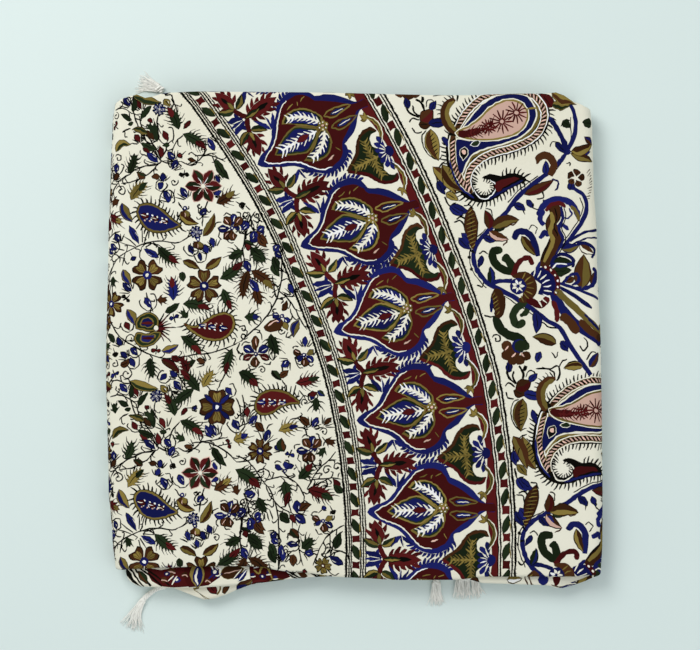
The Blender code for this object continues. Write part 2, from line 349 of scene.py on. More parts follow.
def cloth_grid():
    """The sheet's outer and inner faces as grids of points, with the run of the cloth along each side."""
    section = strip_path()
    section_side = left_normals(section)
    route, shares = strip_route()
    route_side = left_normals(route)
    half = SHEET_THICKNESS / 2
    faces = []
    for side in (-half, half):
        flat = section + section_side * side
        rows = []
        for place, normal, share in zip(route, route_side, shares):
            spot = place + flat[:, 1:] * normal
            points = np.stack([spot[:, 0], flat[:, 0], spot[:, 1]], 1)
            rows.append(uneven(points, np.tile(share, (len(points), 1))))
        faces.append(np.array(rows))

    outside = section - section_side * half
    q = -run_length(outside)
    on_top = (section_side[:, 1] <= -UPRIGHT) & (outside[:, 1] >= 0)
    level = np.argmin(np.where(on_top, np.abs(outside[:, 0]), np.inf))
    q += outside[level, 0] - q[level]
    over = route + route_side * (1.5 * PLY_STEP + half)
    p = run_length(over)
    on_top = (route_side[:, 1] >= UPRIGHT) & (shares[:, 0] >= UPRIGHT)
    level = np.argmin(np.where(on_top, np.abs(over[:, 0]), np.inf))
    p += over[level, 0] - p[level]
    return faces[0], faces[1], p, q


def grid_normals(grid):
    """The unit normals of the outer face at its points."""
    along_p = np.gradient(grid, axis=0)
    along_q = np.gradient(grid, axis=1)
    normal = np.cross(along_q, along_p)
    return normal / np.linalg.norm(normal, axis=2, keepdims=True)


OUTER, INNER, CLOTH_P, CLOTH_Q = cloth_grid()
both = np.concatenate([OUTER.reshape(-1, 3), INNER.reshape(-1, 3)])
neat_middle = (both.min(0) + both.max(0)) / 2
cad_low, cad_high = (np.array(corner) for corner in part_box("cloth"))
SHIFT = np.array([*((cad_low + cad_high) / 2 - neat_middle)[:2], cad_low[2] - both[:, 2].min()])
OUTER = OUTER + SHIFT
INNER = INNER + SHIFT
OUTER_NORMALS = grid_normals(OUTER)


# Materials

THREAD_PITCH = 0.9 * MM
WEAVE_STRENGTH = 0.5
WEAVE_DEPTH = 0.15 * MM
SLUB_SCALE = 60.0
SLUB_STRETCH = 14.0
YARN_STRENGTH = 0.4
YARN_DEPTH = 0.1 * MM


def new_material(name):
    """A new material, with its nodes and links."""
    material = bpy.data.materials.new(name)
    material.use_nodes = True
    return material, material.node_tree.nodes, material.node_tree.links


def noise_node(nodes, links, place, scale, detail=2.0):
    """The amount of a noise at a place."""
    noise = nodes.new("ShaderNodeTexNoise")
    noise.inputs["Scale"].default_value = scale
    noise.inputs["Detail"].default_value = detail
    links.new(place, noise.inputs["Vector"])
    return noise.outputs["Fac"]


def math_node(nodes, links, operation, *values):
    """What an operation makes of its values, each of them a number or another node's output."""
    made = nodes.new("ShaderNodeMath")
    made.operation = operation
    for socket, value in zip(made.inputs, values):
        if isinstance(value, float):
            socket.default_value = value
        else:
            links.new(value, socket)
    return made.outputs[0]


def add_tones(nodes, links, shader, amount, low, high):
    """Colours a shader from one tone to another, each given as an amount and its colour."""
    tone = nodes.new("ShaderNodeValToRGB")
    for element, (position, colour) in zip(tone.color_ramp.elements, (low, high)):
        element.position = position
        element.color = (*colour, 1)
    links.new(amount, tone.inputs[0])
    links.new(tone.outputs[0], shader.inputs["Base Color"])


def add_bump(nodes, links, shader, height, strength, depth):
    """Gives a shader a relief."""
    bump = nodes.new("ShaderNodeBump")
    bump.inputs["Strength"].default_value = strength
    bump.inputs["Distance"].default_value = depth
    links.new(height, bump.inputs["Height"])
    links.new(bump.outputs[0], shader.inputs["Normal"])


def add_weave(nodes, links, shader):
    """Crossed threads with slubs, on the map of the cloth in metres, which is handed back."""
    place = nodes.new("ShaderNodeUVMap")
    place.uv_map = "cloth"
    apart = nodes.new("ShaderNodeSeparateXYZ")
    links.new(place.outputs[0], apart.inputs[0])
    threads = []
    for axis in (0, 1):
        wave = math_node(nodes, links, "MULTIPLY", apart.outputs[axis], 2 * math.pi / THREAD_PITCH)
        threads.append(math_node(nodes, links, "SINE", wave))
    height = math_node(nodes, links, "MULTIPLY", *threads)
    for stretch in ((1.0, SLUB_STRETCH, 1.0), (SLUB_STRETCH, 1.0, 1.0)):
        mapping = nodes.new("ShaderNodeMapping")
        mapping.inputs["Scale"].default_value = stretch
        links.new(place.outputs[0], mapping.inputs[0])
        slub = noise_node(nodes, links, mapping.outputs[0], SLUB_SCALE)
        height = math_node(nodes, links, "ADD", slub, height)
    add_bump(nodes, links, shader, height, WEAVE_STRENGTH, WEAVE_DEPTH)
    return place.outputs[0]


def cotton_material():
    """Plain woven cotton, cream, a little warmer and cooler from place to place."""
    material, nodes, links = new_material("cotton_cream")
    shader = nodes["Principled BSDF"]
    place = add_weave(nodes, links, shader)
    amount = noise_node(nodes, links, place, 9.0, detail=4.0)
    add_tones(nodes, links, shader, amount, (0.3, (0.80, 0.765, 0.62)), (0.7, (0.87, 0.845, 0.72)))
    shader.inputs["Roughness"].default_value = 0.9
    shader.inputs["Sheen Weight"].default_value = 0.15
    shader.inputs["Sheen Roughness"].default_value = 0.5
    return material


def yarn_material():
    """Undyed cotton yarn."""
    material, nodes, links = new_material("yarn_white")
    shader = nodes["Principled BSDF"]
    place = nodes.new("ShaderNodeTexCoord").outputs["Object"]
    amount = noise_node(nodes, links, place, 900.0)
    add_tones(nodes, links, shader, amount, (0.0, (0.86, 0.85, 0.79)), (1.0, (0.96, 0.95, 0.91)))
    add_bump(nodes, links, shader, amount, YARN_STRENGTH, YARN_DEPTH)
    shader.inputs["Roughness"].default_value = 0.9
    shader.inputs["Sheen Weight"].default_value = 0.3
    return material


COTTON = cotton_material()
YARN = yarn_material()


# Meshes


def mesh_object(name, points, faces, materials, indices=None):
    """A smooth-shaded piece that rides on the body, from its points and lists of faces."""
    mesh = bpy.data.meshes.new(name)
    mesh.from_pydata(np.asarray(points).tolist(), [], faces)
    for material in materials:
        mesh.materials.append(material)
    mesh.polygons.foreach_set("use_smooth", np.ones(len(mesh.polygons), bool))
    if indices is not None:
        mesh.polygons.foreach_set("material_index", np.asarray(indices, np.int32))
    made = bpy.data.objects.new(name, mesh)
    bpy.context.scene.collection.objects.link(made)
    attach(made, "root")
    return made


def add_map(made, name, places):
    """A UV map from one place for each vertex."""
    mesh = made.data
    corners = np.empty(len(mesh.loops), np.int32)
    mesh.loops.foreach_get("vertex_index", corners)
    layer = mesh.uv_layers.new(name=name)
    layer.uv.foreach_set("vector", places[corners].astype(np.float32).ravel())


def sheet_piece():
    """The sheet: its outer and inner faces, joined along the hems and the two ends."""
    n_route, n_section = OUTER.shape[:2]
    points = np.concatenate([OUTER.reshape(-1, 3), INNER.reshape(-1, 3)])
    index = np.arange(n_route * n_section).reshape(n_route, n_section)
    inside = index + n_route * n_section
    faces = [
        np.stack([index[:-1, :-1], index[:-1, 1:], index[1:, 1:], index[1:, :-1]], -1).reshape(-1, 4),
        np.stack([inside[:-1, :-1], inside[1:, :-1], inside[1:, 1:], inside[:-1, 1:]], -1).reshape(-1, 4),
    ]
    for outer, inner in (
        (index[:, 0], inside[:, 0]),
        (index[::-1, -1], inside[::-1, -1]),
        (index[0, ::-1], inside[0, ::-1]),
        (index[-1, :], inside[-1, :]),
    ):
        faces.append(np.stack([outer[:-1], outer[1:], inner[1:], inner[:-1]], -1))
    made = mesh_object("cloth_sheet", points, np.concatenate(faces).tolist(), [COTTON])
    p, q = np.meshgrid(CLOTH_P, CLOTH_Q, indexing="ij")
    flat = np.stack([p.ravel(), q.ravel()], 1)
    flat = np.concatenate([flat, flat])
    add_map(made, "cloth", flat)
    share = (flat - flat.min(0)) / np.ptp(flat, axis=0)
    share[:, 1] = share[:, 1] * 0.5 + np.repeat([0.0, 0.5], len(share) // 2)
    add_map(made, "OFBake", share)
    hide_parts("cloth")
    return made


# Tassels, with their places, headings and sizes in millimetres and degrees

TASSEL_COLUMNS = ("name", "x", "y", "heading", "turn", "head", "width", "strands", "length", "spread")
TASSELS = (
    ("tassel_front_left", -139.0, -187.0, 190, 76, 21, 5.0, 60, 25, 20),
    ("tassel_front_middle", 61.0, -178.0, 262, 18, 7, 7.2, 64, 19, 12),
    ("tassel_front_right", 83.5, -178.5, 264, 14, 4, 20.0, 90, 16, 26),
    ("tassel_back_left", -141.0, 178.8, 150, 15, 5, 8.0, 56, 17, 34),
)
HEAD_SHARE_OF_TURN = 0.6
HEAD_STEPS = 24
WIDE_HEAD = 10
PLY_RADIUS = 0.95 * MM
PLY_SIDES = 7
TWIST_LENGTH = 6.5
STRAND_STEPS = 9
STRAND_SIDES = 4


def heading_vector(degrees):
    """The unit vector of a heading in plan."""
    return np.array([math.cos(math.radians(degrees)), math.sin(math.radians(degrees))])


def walk(start, heading, turn, length, steps):
    """Points and headings along a level path that turns evenly as it goes."""
    place, places, headings = np.array(start, float), [], []
    for i in range(steps + 1):
        places.append(place.copy())
        headings.append(heading + turn * i / steps)
        place = place + heading_vector(heading + turn * (i + 0.5) / steps) * length / steps
    return np.array(places), np.array(headings)


def add_tube(points, faces, path, radii, sides):
    """A tube with closed ends round a path, added to the lists of points and faces."""
    path = np.asarray(path, float)
    along = np.gradient(path, axis=0)
    along /= np.linalg.norm(along, axis=1, keepdims=True)
    side = np.cross(along, (0.0, 0.0, 1.0))
    side /= np.linalg.norm(side, axis=1, keepdims=True)
    up = np.cross(side, along)
    first = len(points)
    for place, a, b, radius in zip(path, side, up, radii):
        for k in range(sides):
            angle = 2 * math.pi * k / sides
            points.append(place + (a * math.cos(angle) + b * math.sin(angle)) * radius)
    for i in range(len(path) - 1):
        for k in range(sides):
            here, there = first + i * sides, first + (i + 1) * sides
            j = (k + 1) % sides
            faces.append((here + k, here + j, there + j, there + k))
    last = first + (len(path) - 1) * sides
    faces.append(tuple(first + k for k in reversed(range(sides))))
    faces.append(tuple(last + k for k in range(sides)))


def add_plies(points, faces, row, spots, ways):
    """The twisted plies of a tassel's head."""
    half = row["width"] * MM / 2
    plies = 3 if row["width"] < WIDE_HEAD else 6
    ply_radius = min(PLY_RADIUS, half * 0.5)
    for k in range(plies):
        path = []
        for i, (spot, way) in enumerate(zip(spots, ways)):
            part = i / (len(spots) - 1)
            turn = 2 * math.pi * (k / plies + part * row["head"] / TWIST_LENGTH)
            aside = half * 0.42 * (1 + 0.25 * part) * math.cos(turn)
            height = ply_radius + 0.75 * MM * (1 + math.sin(turn))
            path.append((*(spot + heading_vector(way - 90) * aside), height))
        radii = ply_radius * (0.85 + 0.15 * np.sin(np.linspace(0, 9, len(path)) + k))
        add_tube(points, faces, path, radii, PLY_SIDES)


def add_strands(points, faces, row, collar, heading, random):
    """The fine strands that open out of a tassel's head, all lying on the surface."""
    half = row["width"] * MM / 2
    side = heading_vector(heading - 90)
    for _ in range(row["strands"]):
        share = random.uniform(-1, 1)
        tier = random.uniform(0, 1)
        fan = -share * row["spread"] / 2 + random.normal(0, 5)
        turn = row["turn"] * (1 - HEAD_SHARE_OF_TURN) + random.normal(0, 16)
        length = row["length"] * MM * random.uniform(0.72, 1.0)
        begin = collar + side * half * 0.85 * share - heading_vector(heading) * 1.5 * MM
        path, _ = walk(begin, heading + fan * 0.4, turn + fan * 0.6, length, STRAND_STEPS)
        parts = np.linspace(0, 1, len(path))
        wiggle = np.sin(parts * random.uniform(5, 12) + random.uniform(0, 6)) * 0.35 * MM * parts
        path = path + np.outer(wiggle, side)
        radius = random.uniform(0.20, 0.32) * MM
        height = radius + (0.4 + 2.0 * tier) * MM * (1 - 0.75 * parts)
        height = height + 0.15 * MM * np.sin(parts * 8 + 6 * share) ** 2
        radii = radius * (1 - 0.45 * parts**3)
        add_tube(points, faces, np.column_stack([path, height]), radii, STRAND_SIDES)


def tassel_piece(row, seed):
    """A twisted head of plies that opens into fine strands."""
    points, faces = [], []
    start = np.array((row["x"] * MM, row["y"] * MM)) + SHIFT[:2]
    head_turn = row["turn"] * HEAD_SHARE_OF_TURN
    spots, ways = walk(start, row["heading"], head_turn, row["head"] * MM, HEAD_STEPS)
    add_plies(points, faces, row, spots, ways)
    add_strands(points, faces, row, spots[-1], ways[-1], np.random.default_rng(seed))
    made = mesh_object(row["name"] + "_yarn", points, faces, [YARN])
    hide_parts(row["name"])
    return made


# Dyes, each in a few close shades as hand-printed cloth has them

DYES = {
    "cream": (0.84, 0.81, 0.69),
    "burgundy": (0.068, 0.0070, 0.0072),
    "blue": (0.0085, 0.0115, 0.092),
    "green": (0.0125, 0.0215, 0.0085),
    "ochre": (0.190, 0.140, 0.034),
    "brown": (0.052, 0.0185, 0.0065),
    "black": (0.0035, 0.0033, 0.0022),
    "pink": (0.62, 0.40, 0.33),
}
SHADES = (0.74, 1.0, 1.34)
LIGHT_DYES = ("cream", "pink")
LIGHTEST = 0.9
DYE_NAMES = list(DYES)
PATCH_SCALE = 250.0
DYE_ROUGHNESS = (0.72, 0.95)
DYE_SPECULAR = 0.03


def dye_material(name, colour, shade):
    """One shade of one dye in the cotton: flat in its colour, with the weave and a patchy roughness on it."""
    material, nodes, links = new_material(f"dye_{name}_{shade}")
    shader = nodes["Principled BSDF"]
    place = add_weave(nodes, links, shader)
    rough = nodes.new("ShaderNodeMapRange")
    rough.inputs["To Min"].default_value, rough.inputs["To Max"].default_value = DYE_ROUGHNESS
    links.new(noise_node(nodes, links, place, PATCH_SCALE), rough.inputs["Value"])
    links.new(rough.outputs[0], shader.inputs["Roughness"])
    shader.inputs["Base Color"].default_value = (*(min(c * SHADES[shade], LIGHTEST) for c in colour), 1)
    shader.inputs["Specular IOR Level"].default_value = DYE_SPECULAR
    return material


DYE_MATERIALS = [dye_material(name, DYES[name], shade) for name in DYE_NAMES for shade in range(len(SHADES))]


# Drawing tools. A shape is a set of triangles in the drawing, with its dye and its level in the print.

LEAF_STEPS = 8
FLOWER_NOTCH = 0.17
FLOWER_FILL = 0.75
LEAF_EDGE = 1.2
COMB_PITCH = 3.1

shade_choice = np.random.default_rng(7)


def dye_index(dye):
    """A dye in one of its shades, which is never the darkest in the light dyes."""
    shade = int(shade_choice.integers(len(SHADES)))
    if dye in LIGHT_DYES:
        shade = max(shade, 1)
    return DYE_NAMES.index(dye) * len(SHADES) + shade


def turned(points, degrees):
    """Points turned round the drawing's corner."""
    angle = math.radians(degrees)
    turn = np.array([[math.cos(angle), math.sin(angle)], [-math.sin(angle), math.cos(angle)]])
    return np.asarray(points, float) @ turn


def curve(points, steps=4, closed=False):
    """A smooth line through given points."""
    points = np.asarray(points, float)
    if closed:
        ends = np.vstack([points[-1:], points, points[:2]])
    else:
        ends = np.vstack([2 * points[:1] - points[1:2], points, 2 * points[-1:] - points[-2:-1]])
    parts = np.arange(steps)[:, None] / steps
    spans = []
    for a, b, c, d in zip(ends, ends[1:], ends[2:], ends[3:]):
        bend = 2 * a - 5 * b + 4 * c - d + parts * (3 * (b - c) + d - a)
        spans.append(b + 0.5 * parts * (c - a + parts * bend))
    line = np.vstack(spans)
    return line if closed else np.vstack([line, points[-1:]])


def side_of(line):
    """The unit direction to one side of a line, at each of its points."""
    along = np.gradient(np.asarray(line, float), axis=0)
    along /= np.maximum(np.linalg.norm(along, axis=1, keepdims=True), 1e-9)
    return np.stack([-along[:, 1], along[:, 0]], 1)


def strip(ink, one, other, dye, level):
    """The area between two lines with as many points."""
    a, b, c, d = one[:-1], one[1:], other[1:], other[:-1]
    triangles = np.concatenate([np.stack([a, b, c], 1), np.stack([a, c, d], 1)])
    ink.append((triangles, dye_index(dye), level))


def fill(ink, outline, dye, level):
    """The area inside an outline."""
    outline = np.asarray(outline, float)
    corners = tessellate_polygon([[Vector((x, y, 0)) for x, y in outline]])
    ink.append((outline[np.array(corners)], dye_index(dye), level))


def stroke(ink, points, width, dye, level, thin=(0.5, 0.5), steps=4, smooth_line=True):
    """A drawn line, which may thin out at either end."""
    line = curve(points, steps) if smooth_line and len(points) > 2 else np.asarray(points, float)
    if len(line) == 2:
        line = np.linspace(line[0], line[1], 3)
    part = np.linspace(0, 1, len(line))
    share = np.minimum(1, np.minimum(thin[0] + 5 * part, thin[1] + 5 * (1 - part)))
    half = side_of(line) * (width / 2 * share)[:, None]
    strip(ink, line + half, line - half, dye, level)


def ring_line(ink, points, width, dye, level, steps=4):
    """A closed drawn line."""
    line = curve(points, steps, closed=True)
    line = np.vstack([line, line[:1]])
    half = side_of(line) * width / 2
    half[0] = half[-1] = (half[0] + half[-1]) / 2
    strip(ink, line + half, line - half, dye, level)


def blob(ink, points, dye, level, steps=4):
    """A smooth round shape through given points."""
    fill(ink, curve(points, steps, closed=True), dye, level)


def dot(ink, centre, radius, dye, level, sides=8, squash=1.0):
    """A small round or oval spot."""
    angles = 2 * np.pi * np.arange(sides) / sides
    fill(ink, np.stack([np.cos(angles), squash * np.sin(angles)], 1) * radius + centre, dye, level)


def hairs(ink, line, length, pitch, dye, level, width=0.9, lean=0.5, side=1):
    """Comb hairs that stand on a line, leaning along it."""
    line = np.asarray(line, float)
    run = run_length(line)
    count = max(2, int(run[-1] / pitch))
    at = (np.arange(count) + 0.5) / count * run[-1]
    root = np.stack([np.interp(at, run, line[:, i]) for i in (0, 1)], 1)
    out = np.stack([np.interp(at, run, column) for column in (side_of(line) * side).T], 1)
    along = np.stack([out[:, 1], -out[:, 0]], 1) * side
    reach = length * (0.8 + 0.2 * np.sin(2.3 * np.arange(count)))[:, None]
    tip = root + (out + along * lean) * reach
    bend = root + (out + along * lean * 0.7) * reach * 0.55
    for a, b, c, step in zip(root, bend, tip, along):
        wide = np.array([step * width / 2, step * width * 0.45, step * width * 0.24])
        path = np.array([a, b, c])
        strip(ink, path + wide, path - wide, dye, level)


def teeth(ink, line, length, pitch, dye, level, side=1, lean=0.6):
    """A saw edge on a line."""
    hairs(ink, line, length, pitch, dye, level, width=pitch * 0.95, lean=lean, side=side)


def leaf_sides(base, tip, width, bend=0.0, fat=0.42):
    """The two sides of a pointed leaf, and its middle."""
    base, tip = np.asarray(base, float), np.asarray(tip, float)
    part = np.linspace(0, 1, LEAF_STEPS + 1)
    way = tip - base
    side = np.array([-way[1], way[0]]) / max(np.linalg.norm(way), 1e-6)
    middle = base + np.outer(part, way) + np.outer(np.sin(np.pi * part) * bend, side)
    shape = np.sin(np.pi * part ** (math.log(0.5) / math.log(fat))) ** 0.85
    half = side_of(middle) * (shape * width / 2)[:, None]
    return middle + half, middle - half, middle


def leaf(ink, base, tip, width, dye, level=2, bend=0.0, edge="black", vein=None, half_dye=None, fat=0.42):
    """A pointed leaf or petal, with a dark edge, a vein and a second dye on one half."""
    base, tip = np.asarray(base, float), np.asarray(tip, float)
    one, other, middle = leaf_sides(base, tip, width, bend, fat=fat)
    if edge:
        way = (tip - base) / max(np.linalg.norm(tip - base), 1e-6)
        wide_one, wide_other, _ = leaf_sides(base - way * 0.6, tip + way * 0.9, width + LEAF_EDGE, bend, fat)
        strip(ink, wide_one, wide_other, edge, level - 1)
    strip(ink, one, other, dye, level)
    if edge == "black" and width > 5.5 and not vein and not half_dye:
        stroke(ink, middle[1:-2], 0.8, "black", level + 1, smooth_line=False)
    if half_dye:
        strip(ink, one * 0.85 + middle * 0.15, middle, half_dye, level + 1)
    if vein:
        stroke(ink, middle[1:-1], 0.8, vein, level + 2, smooth_line=False)
    return one, other


def feather(ink, spine, length, pitch, dye, level, width=1.1, lean=0.9):
    """A spine with barbs on both sides."""
    line = curve(spine, 5)
    stroke(ink, line, width * 1.1, dye, level, smooth_line=False)
    for side in (1, -1):
        hairs(ink, line, length, pitch, dye, level, width=width, lean=lean, side=side)


def curl(ink, centre, radius, start, turns, width=0.9, level=1):
    """A small tendril that winds in."""
    part = np.linspace(0, 1, int(abs(turns) * 10) + 3)
    angle = np.radians(start) + 2 * np.pi * turns * part
    line = np.stack([np.cos(angle), np.sin(angle)], 1) * (radius * (1 - 0.72 * part))[:, None] + centre
    stroke(ink, line, width, "black", level, smooth_line=False)
    dot(ink, line[-1], width * 0.9, "black", level, sides=6)


def petal_shape(radius, wide):
    """The outline of a round petal with a notch in its end."""
    side = ((0.34, 0.55), (0.68, 0.98), (0.95, 0.68))
    one = [(radius * out, wide * aside) for out, aside in side]
    other = [(out, -aside) for out, aside in one[::-1]]
    return np.array([(radius * 0.10, 0), *one, (radius * (1 - FLOWER_NOTCH), 0), *other])


def flower(ink, centre, radius, petals, turn, dye, heart="blue", petal_dye=None, level=2):
    """Round notched petals with a lighter streak, round an eye."""
    centre = np.asarray(centre, float)
    half_angle = math.pi / petals * FLOWER_FILL
    wide = math.tan(half_angle) * radius * 0.70 if petals > 3 else radius * 0.6
    shape = petal_shape(radius, wide)
    for k in range(petals):
        along = turn + 360 * k / petals
        big = shape * (1 + 0.9 / radius) + np.sign(shape) * (0.0, 0.5)
        blob(ink, turned(big, along) + centre, "black", level - 1, steps=2)
        blob(ink, turned(shape, along) + centre, dye, level, steps=2)
        if petal_dye:
            streak = shape * (0.74, 0.50) + (radius * 0.12, 0)
            blob(ink, turned(streak, along) + centre, petal_dye, level + 1, steps=2)
            for aside in (-0.32, 0.0, 0.32):
                line = np.array([(radius * 0.25, 0), (radius * 0.85, wide * aside * 1.6)])
                stroke(ink, turned(line, along) + centre, 0.5, dye, level + 2, smooth_line=False)
    if heart:
        dot(ink, centre, radius * 0.28, heart, level + 3, sides=12)
        dot(ink, centre, radius * 0.11, "cream", level + 4, sides=8)


def star(ink, centre, radius, points, turn, dye, inner, level=2):
    """A star of pointed petals with a light edge and a dark half."""
    centre = np.asarray(centre, float)
    for k in range(points):
        along = turn + 360 * k / points
        tip = turned([(radius, 0)], along)[0] + centre
        base = turned([(radius * 0.08, 0)], along)[0] + centre
        leaf(ink, base, tip, radius * 0.56, dye, level, edge="pink", half_dye=inner, fat=0.55)
        stroke(ink, np.array([base, (base + tip) / 2]), 0.7, "cream", level + 2, smooth_line=False)
    dot(ink, centre, radius * 0.12, "cream", level + 3, sides=8)


def bud(ink, base, tip, dye, width):
    """A small bud on its calyx: some with hooked sepals, some with a tuft of hairs."""
    base, tip = np.asarray(base, float), np.asarray(tip, float)
    way = tip - base
    side = np.array([-way[1], way[0]])
    leaf(ink, base, tip, width, dye, 2, edge="black", fat=0.55)
    if width > 5:
        stroke(ink, [base + way * 0.3 + side * 0.14, base + way * 0.6 + side * 0.12], 0.6, "cream", 3)
    if int(base[0] + base[1]) % 3:
        for turn in (1.5, 0.9, -0.8, -1.4):
            ends = [base + side * 0.2 * turn, base + way * (0.9 - 0.2 * abs(turn)) + side * 0.62 * turn]
            stroke(ink, ends, 1.2, "black", 1, thin=(0.9, 0.4))
        return
    for turn in (1, -0.8):
        line = [base - way * 0.2, base + side * 0.55 * turn, base + way * 0.8 + side * 0.85 * turn]
        line.append(base + way * 1.1 + side * 0.55 * turn)
        stroke(ink, line, 1.2, "black", 1)


def comb_leaf(ink, base, tip, width, dye, tip_dye, bend=0.0, *, length):
    """A leaf with a saw edge and comb hairs on both sides, and a second dye at its tip."""
    one, other = leaf(ink, base, tip, width, dye, 2, bend)
    if tip_dye:
        base, tip = np.asarray(base, float), np.asarray(tip, float)
        middle = base + (tip - base) * 0.52
        leaf(ink, middle, tip, width * 0.75, tip_dye, 3, bend * 0.5, edge=None, fat=0.4)
    for side, line in ((1, one), (-1, other)):
        teeth(ink, line[1:-1], 2.3, COMB_PITCH, dye, 2, side, lean=1.1)
        hairs(ink, line[1:-1], length, COMB_PITCH, "black", 1, width=1.4, side=side, lean=1.0)


def sprig_line(ink, points, width=0.9):
    """A thin vine."""
    stroke(ink, points, width, "black", 0, thin=(0.7, 0.4))


# Laying the print over the folds

LIFT = 0.05 * MM
LEVEL_LIFT = 0.018 * MM
# Shapes on one level are set at slightly different heights, so that none lie in one another
SHAPE_SPREAD = 0.8
GOLDEN = 0.618
# How far the print wanders from its chart, in the drawing's units
WANDER = 0.22
PLACE_ROUNDS = 6
LEAST_AREA = 2e-10
# Corners closer than one part of these, in place, dye and height, are one
CORNER_PARTS = (1e7, 1e7, 1, 1e4)
TOP_REACH = {"p": (LEFT - 24 * MM, RIGHT + 32 * MM), "q": (FRONT - 6.5 * MM, BACK + 6.5 * MM)}


def by_hand(drawn):
    """The small wander of a print made by hand."""
    x, y = drawn[:, 0], drawn[:, 1]
    across = np.sin(x * 0.83 + y * 0.37) + np.sin(y * 1.13 - x * 0.29) + 0.6 * np.sin(x * 0.21 + y * 1.9)
    down = np.sin(y * 0.79 - x * 0.41) + np.sin(x * 1.07 + y * 0.33) + 0.6 * np.sin(y * 0.23 - x * 1.7)
    return drawn + np.stack([across, down], 1) * WANDER


def neat_places(drawn, layer):
    """From the drawing to places on the neat stack, which the uneven one has just there."""
    target = (by_hand(drawn) - DRAWN_MIDDLE) * (DRAWN, -DRAWN)
    neat = target.copy()
    shares = np.tile(np.eye(len(LAYERS))[LAYERS.index(layer)], (len(neat), 1))
    height = np.zeros(len(neat))
    for _ in range(PLACE_ROUNDS):
        moved = uneven(np.column_stack([neat, height]), shares)[:, :2]
        neat = neat + target - moved
    return neat


def to_cloth(drawn):
    """From the drawing to the run of the cloth on the top layer, past its edges too."""
    return neat_places(drawn, "top")


def bilinear(grid, p, q):
    """Values of a grid over the cloth at places along it."""
    i = np.clip(np.searchsorted(CLOTH_P, p) - 1, 0, len(CLOTH_P) - 2)
    j = np.clip(len(CLOTH_Q) - 1 - np.searchsorted(CLOTH_Q[::-1], q), 0, len(CLOTH_Q) - 2)
    a = ((p - CLOTH_P[i]) / (CLOTH_P[i + 1] - CLOTH_P[i]))[:, None]
    b = ((q - CLOTH_Q[j]) / (CLOTH_Q[j + 1] - CLOTH_Q[j]))[:, None]
    one = grid[i, j] * (1 - b) + grid[i, j + 1] * b
    other = grid[i + 1, j] * (1 - b) + grid[i + 1, j + 1] * b
    return one * (1 - a) + other * a


def cut(triangles, tags, axis, value):
    """Cuts triangles along a line of one coordinate."""
    side = triangles[:, :, axis] - value
    near = 1e-9
    crossed = (side.min(1) < -near) & (side.max(1) > near)
    if not crossed.any():
        return triangles, tags
    whole, split = triangles[~crossed], triangles[crossed]
    side = side[crossed]
    up = side > 0
    lone_up = up.sum(1) == 1
    lone = np.where(lone_up, up.argmax(1), (~up).argmax(1))
    order = (lone[:, None] + np.arange(3)) % 3
    rows = np.arange(len(split))[:, None]
    split, side = split[rows, order], side[rows, order]
    a, b, c = split[:, 0], split[:, 1], split[:, 2]
    ab = a + (b - a) * (side[:, 0] / (side[:, 0] - side[:, 1]))[:, None]
    ac = a + (c - a) * (side[:, 0] / (side[:, 0] - side[:, 2]))[:, None]
    ab[:, axis] = ac[:, axis] = value
    parts = [np.stack([a, ab, ac], 1), np.stack([ab, b, c], 1), np.stack([ab, c, ac], 1)]
    pieces = np.concatenate([whole, *parts])
    return pieces, np.concatenate([tags[~crossed], tags[crossed], tags[crossed], tags[crossed]])


def within(places, limits):
    """Where places are between two limits."""
    return (places > limits[0]) & (places < limits[1])


def fitted(triangles, tags, reach):
    """Triangles cut along the steps of the cloth and at the reach of the print, thin ones left out."""
    for axis, limits in enumerate((reach["p"], reach["q"])):
        inside = (triangles[:, :, axis].max(1) > limits[0]) & (triangles[:, :, axis].min(1) < limits[1])
        triangles, tags = triangles[inside], tags[inside]
    for axis, knots, limits in ((0, CLOTH_P, reach["p"]), (1, CLOTH_Q, reach["q"])):
        for value in [*limits, *knots[within(knots, limits)]]:
            triangles, tags = cut(triangles, tags, axis, value)
    middle = triangles.mean(1)
    inside = within(middle[:, 0], reach["p"]) & within(middle[:, 1], reach["q"])
    one, other = triangles[:, 1] - triangles[:, 0], triangles[:, 2] - triangles[:, 0]
    area = one[:, 0] * other[:, 1] - one[:, 1] * other[:, 0]
    inside &= np.abs(area) > LEAST_AREA
    flipped = area < 0
    triangles[flipped] = triangles[flipped][:, ::-1]
    return triangles[inside], tags[inside]


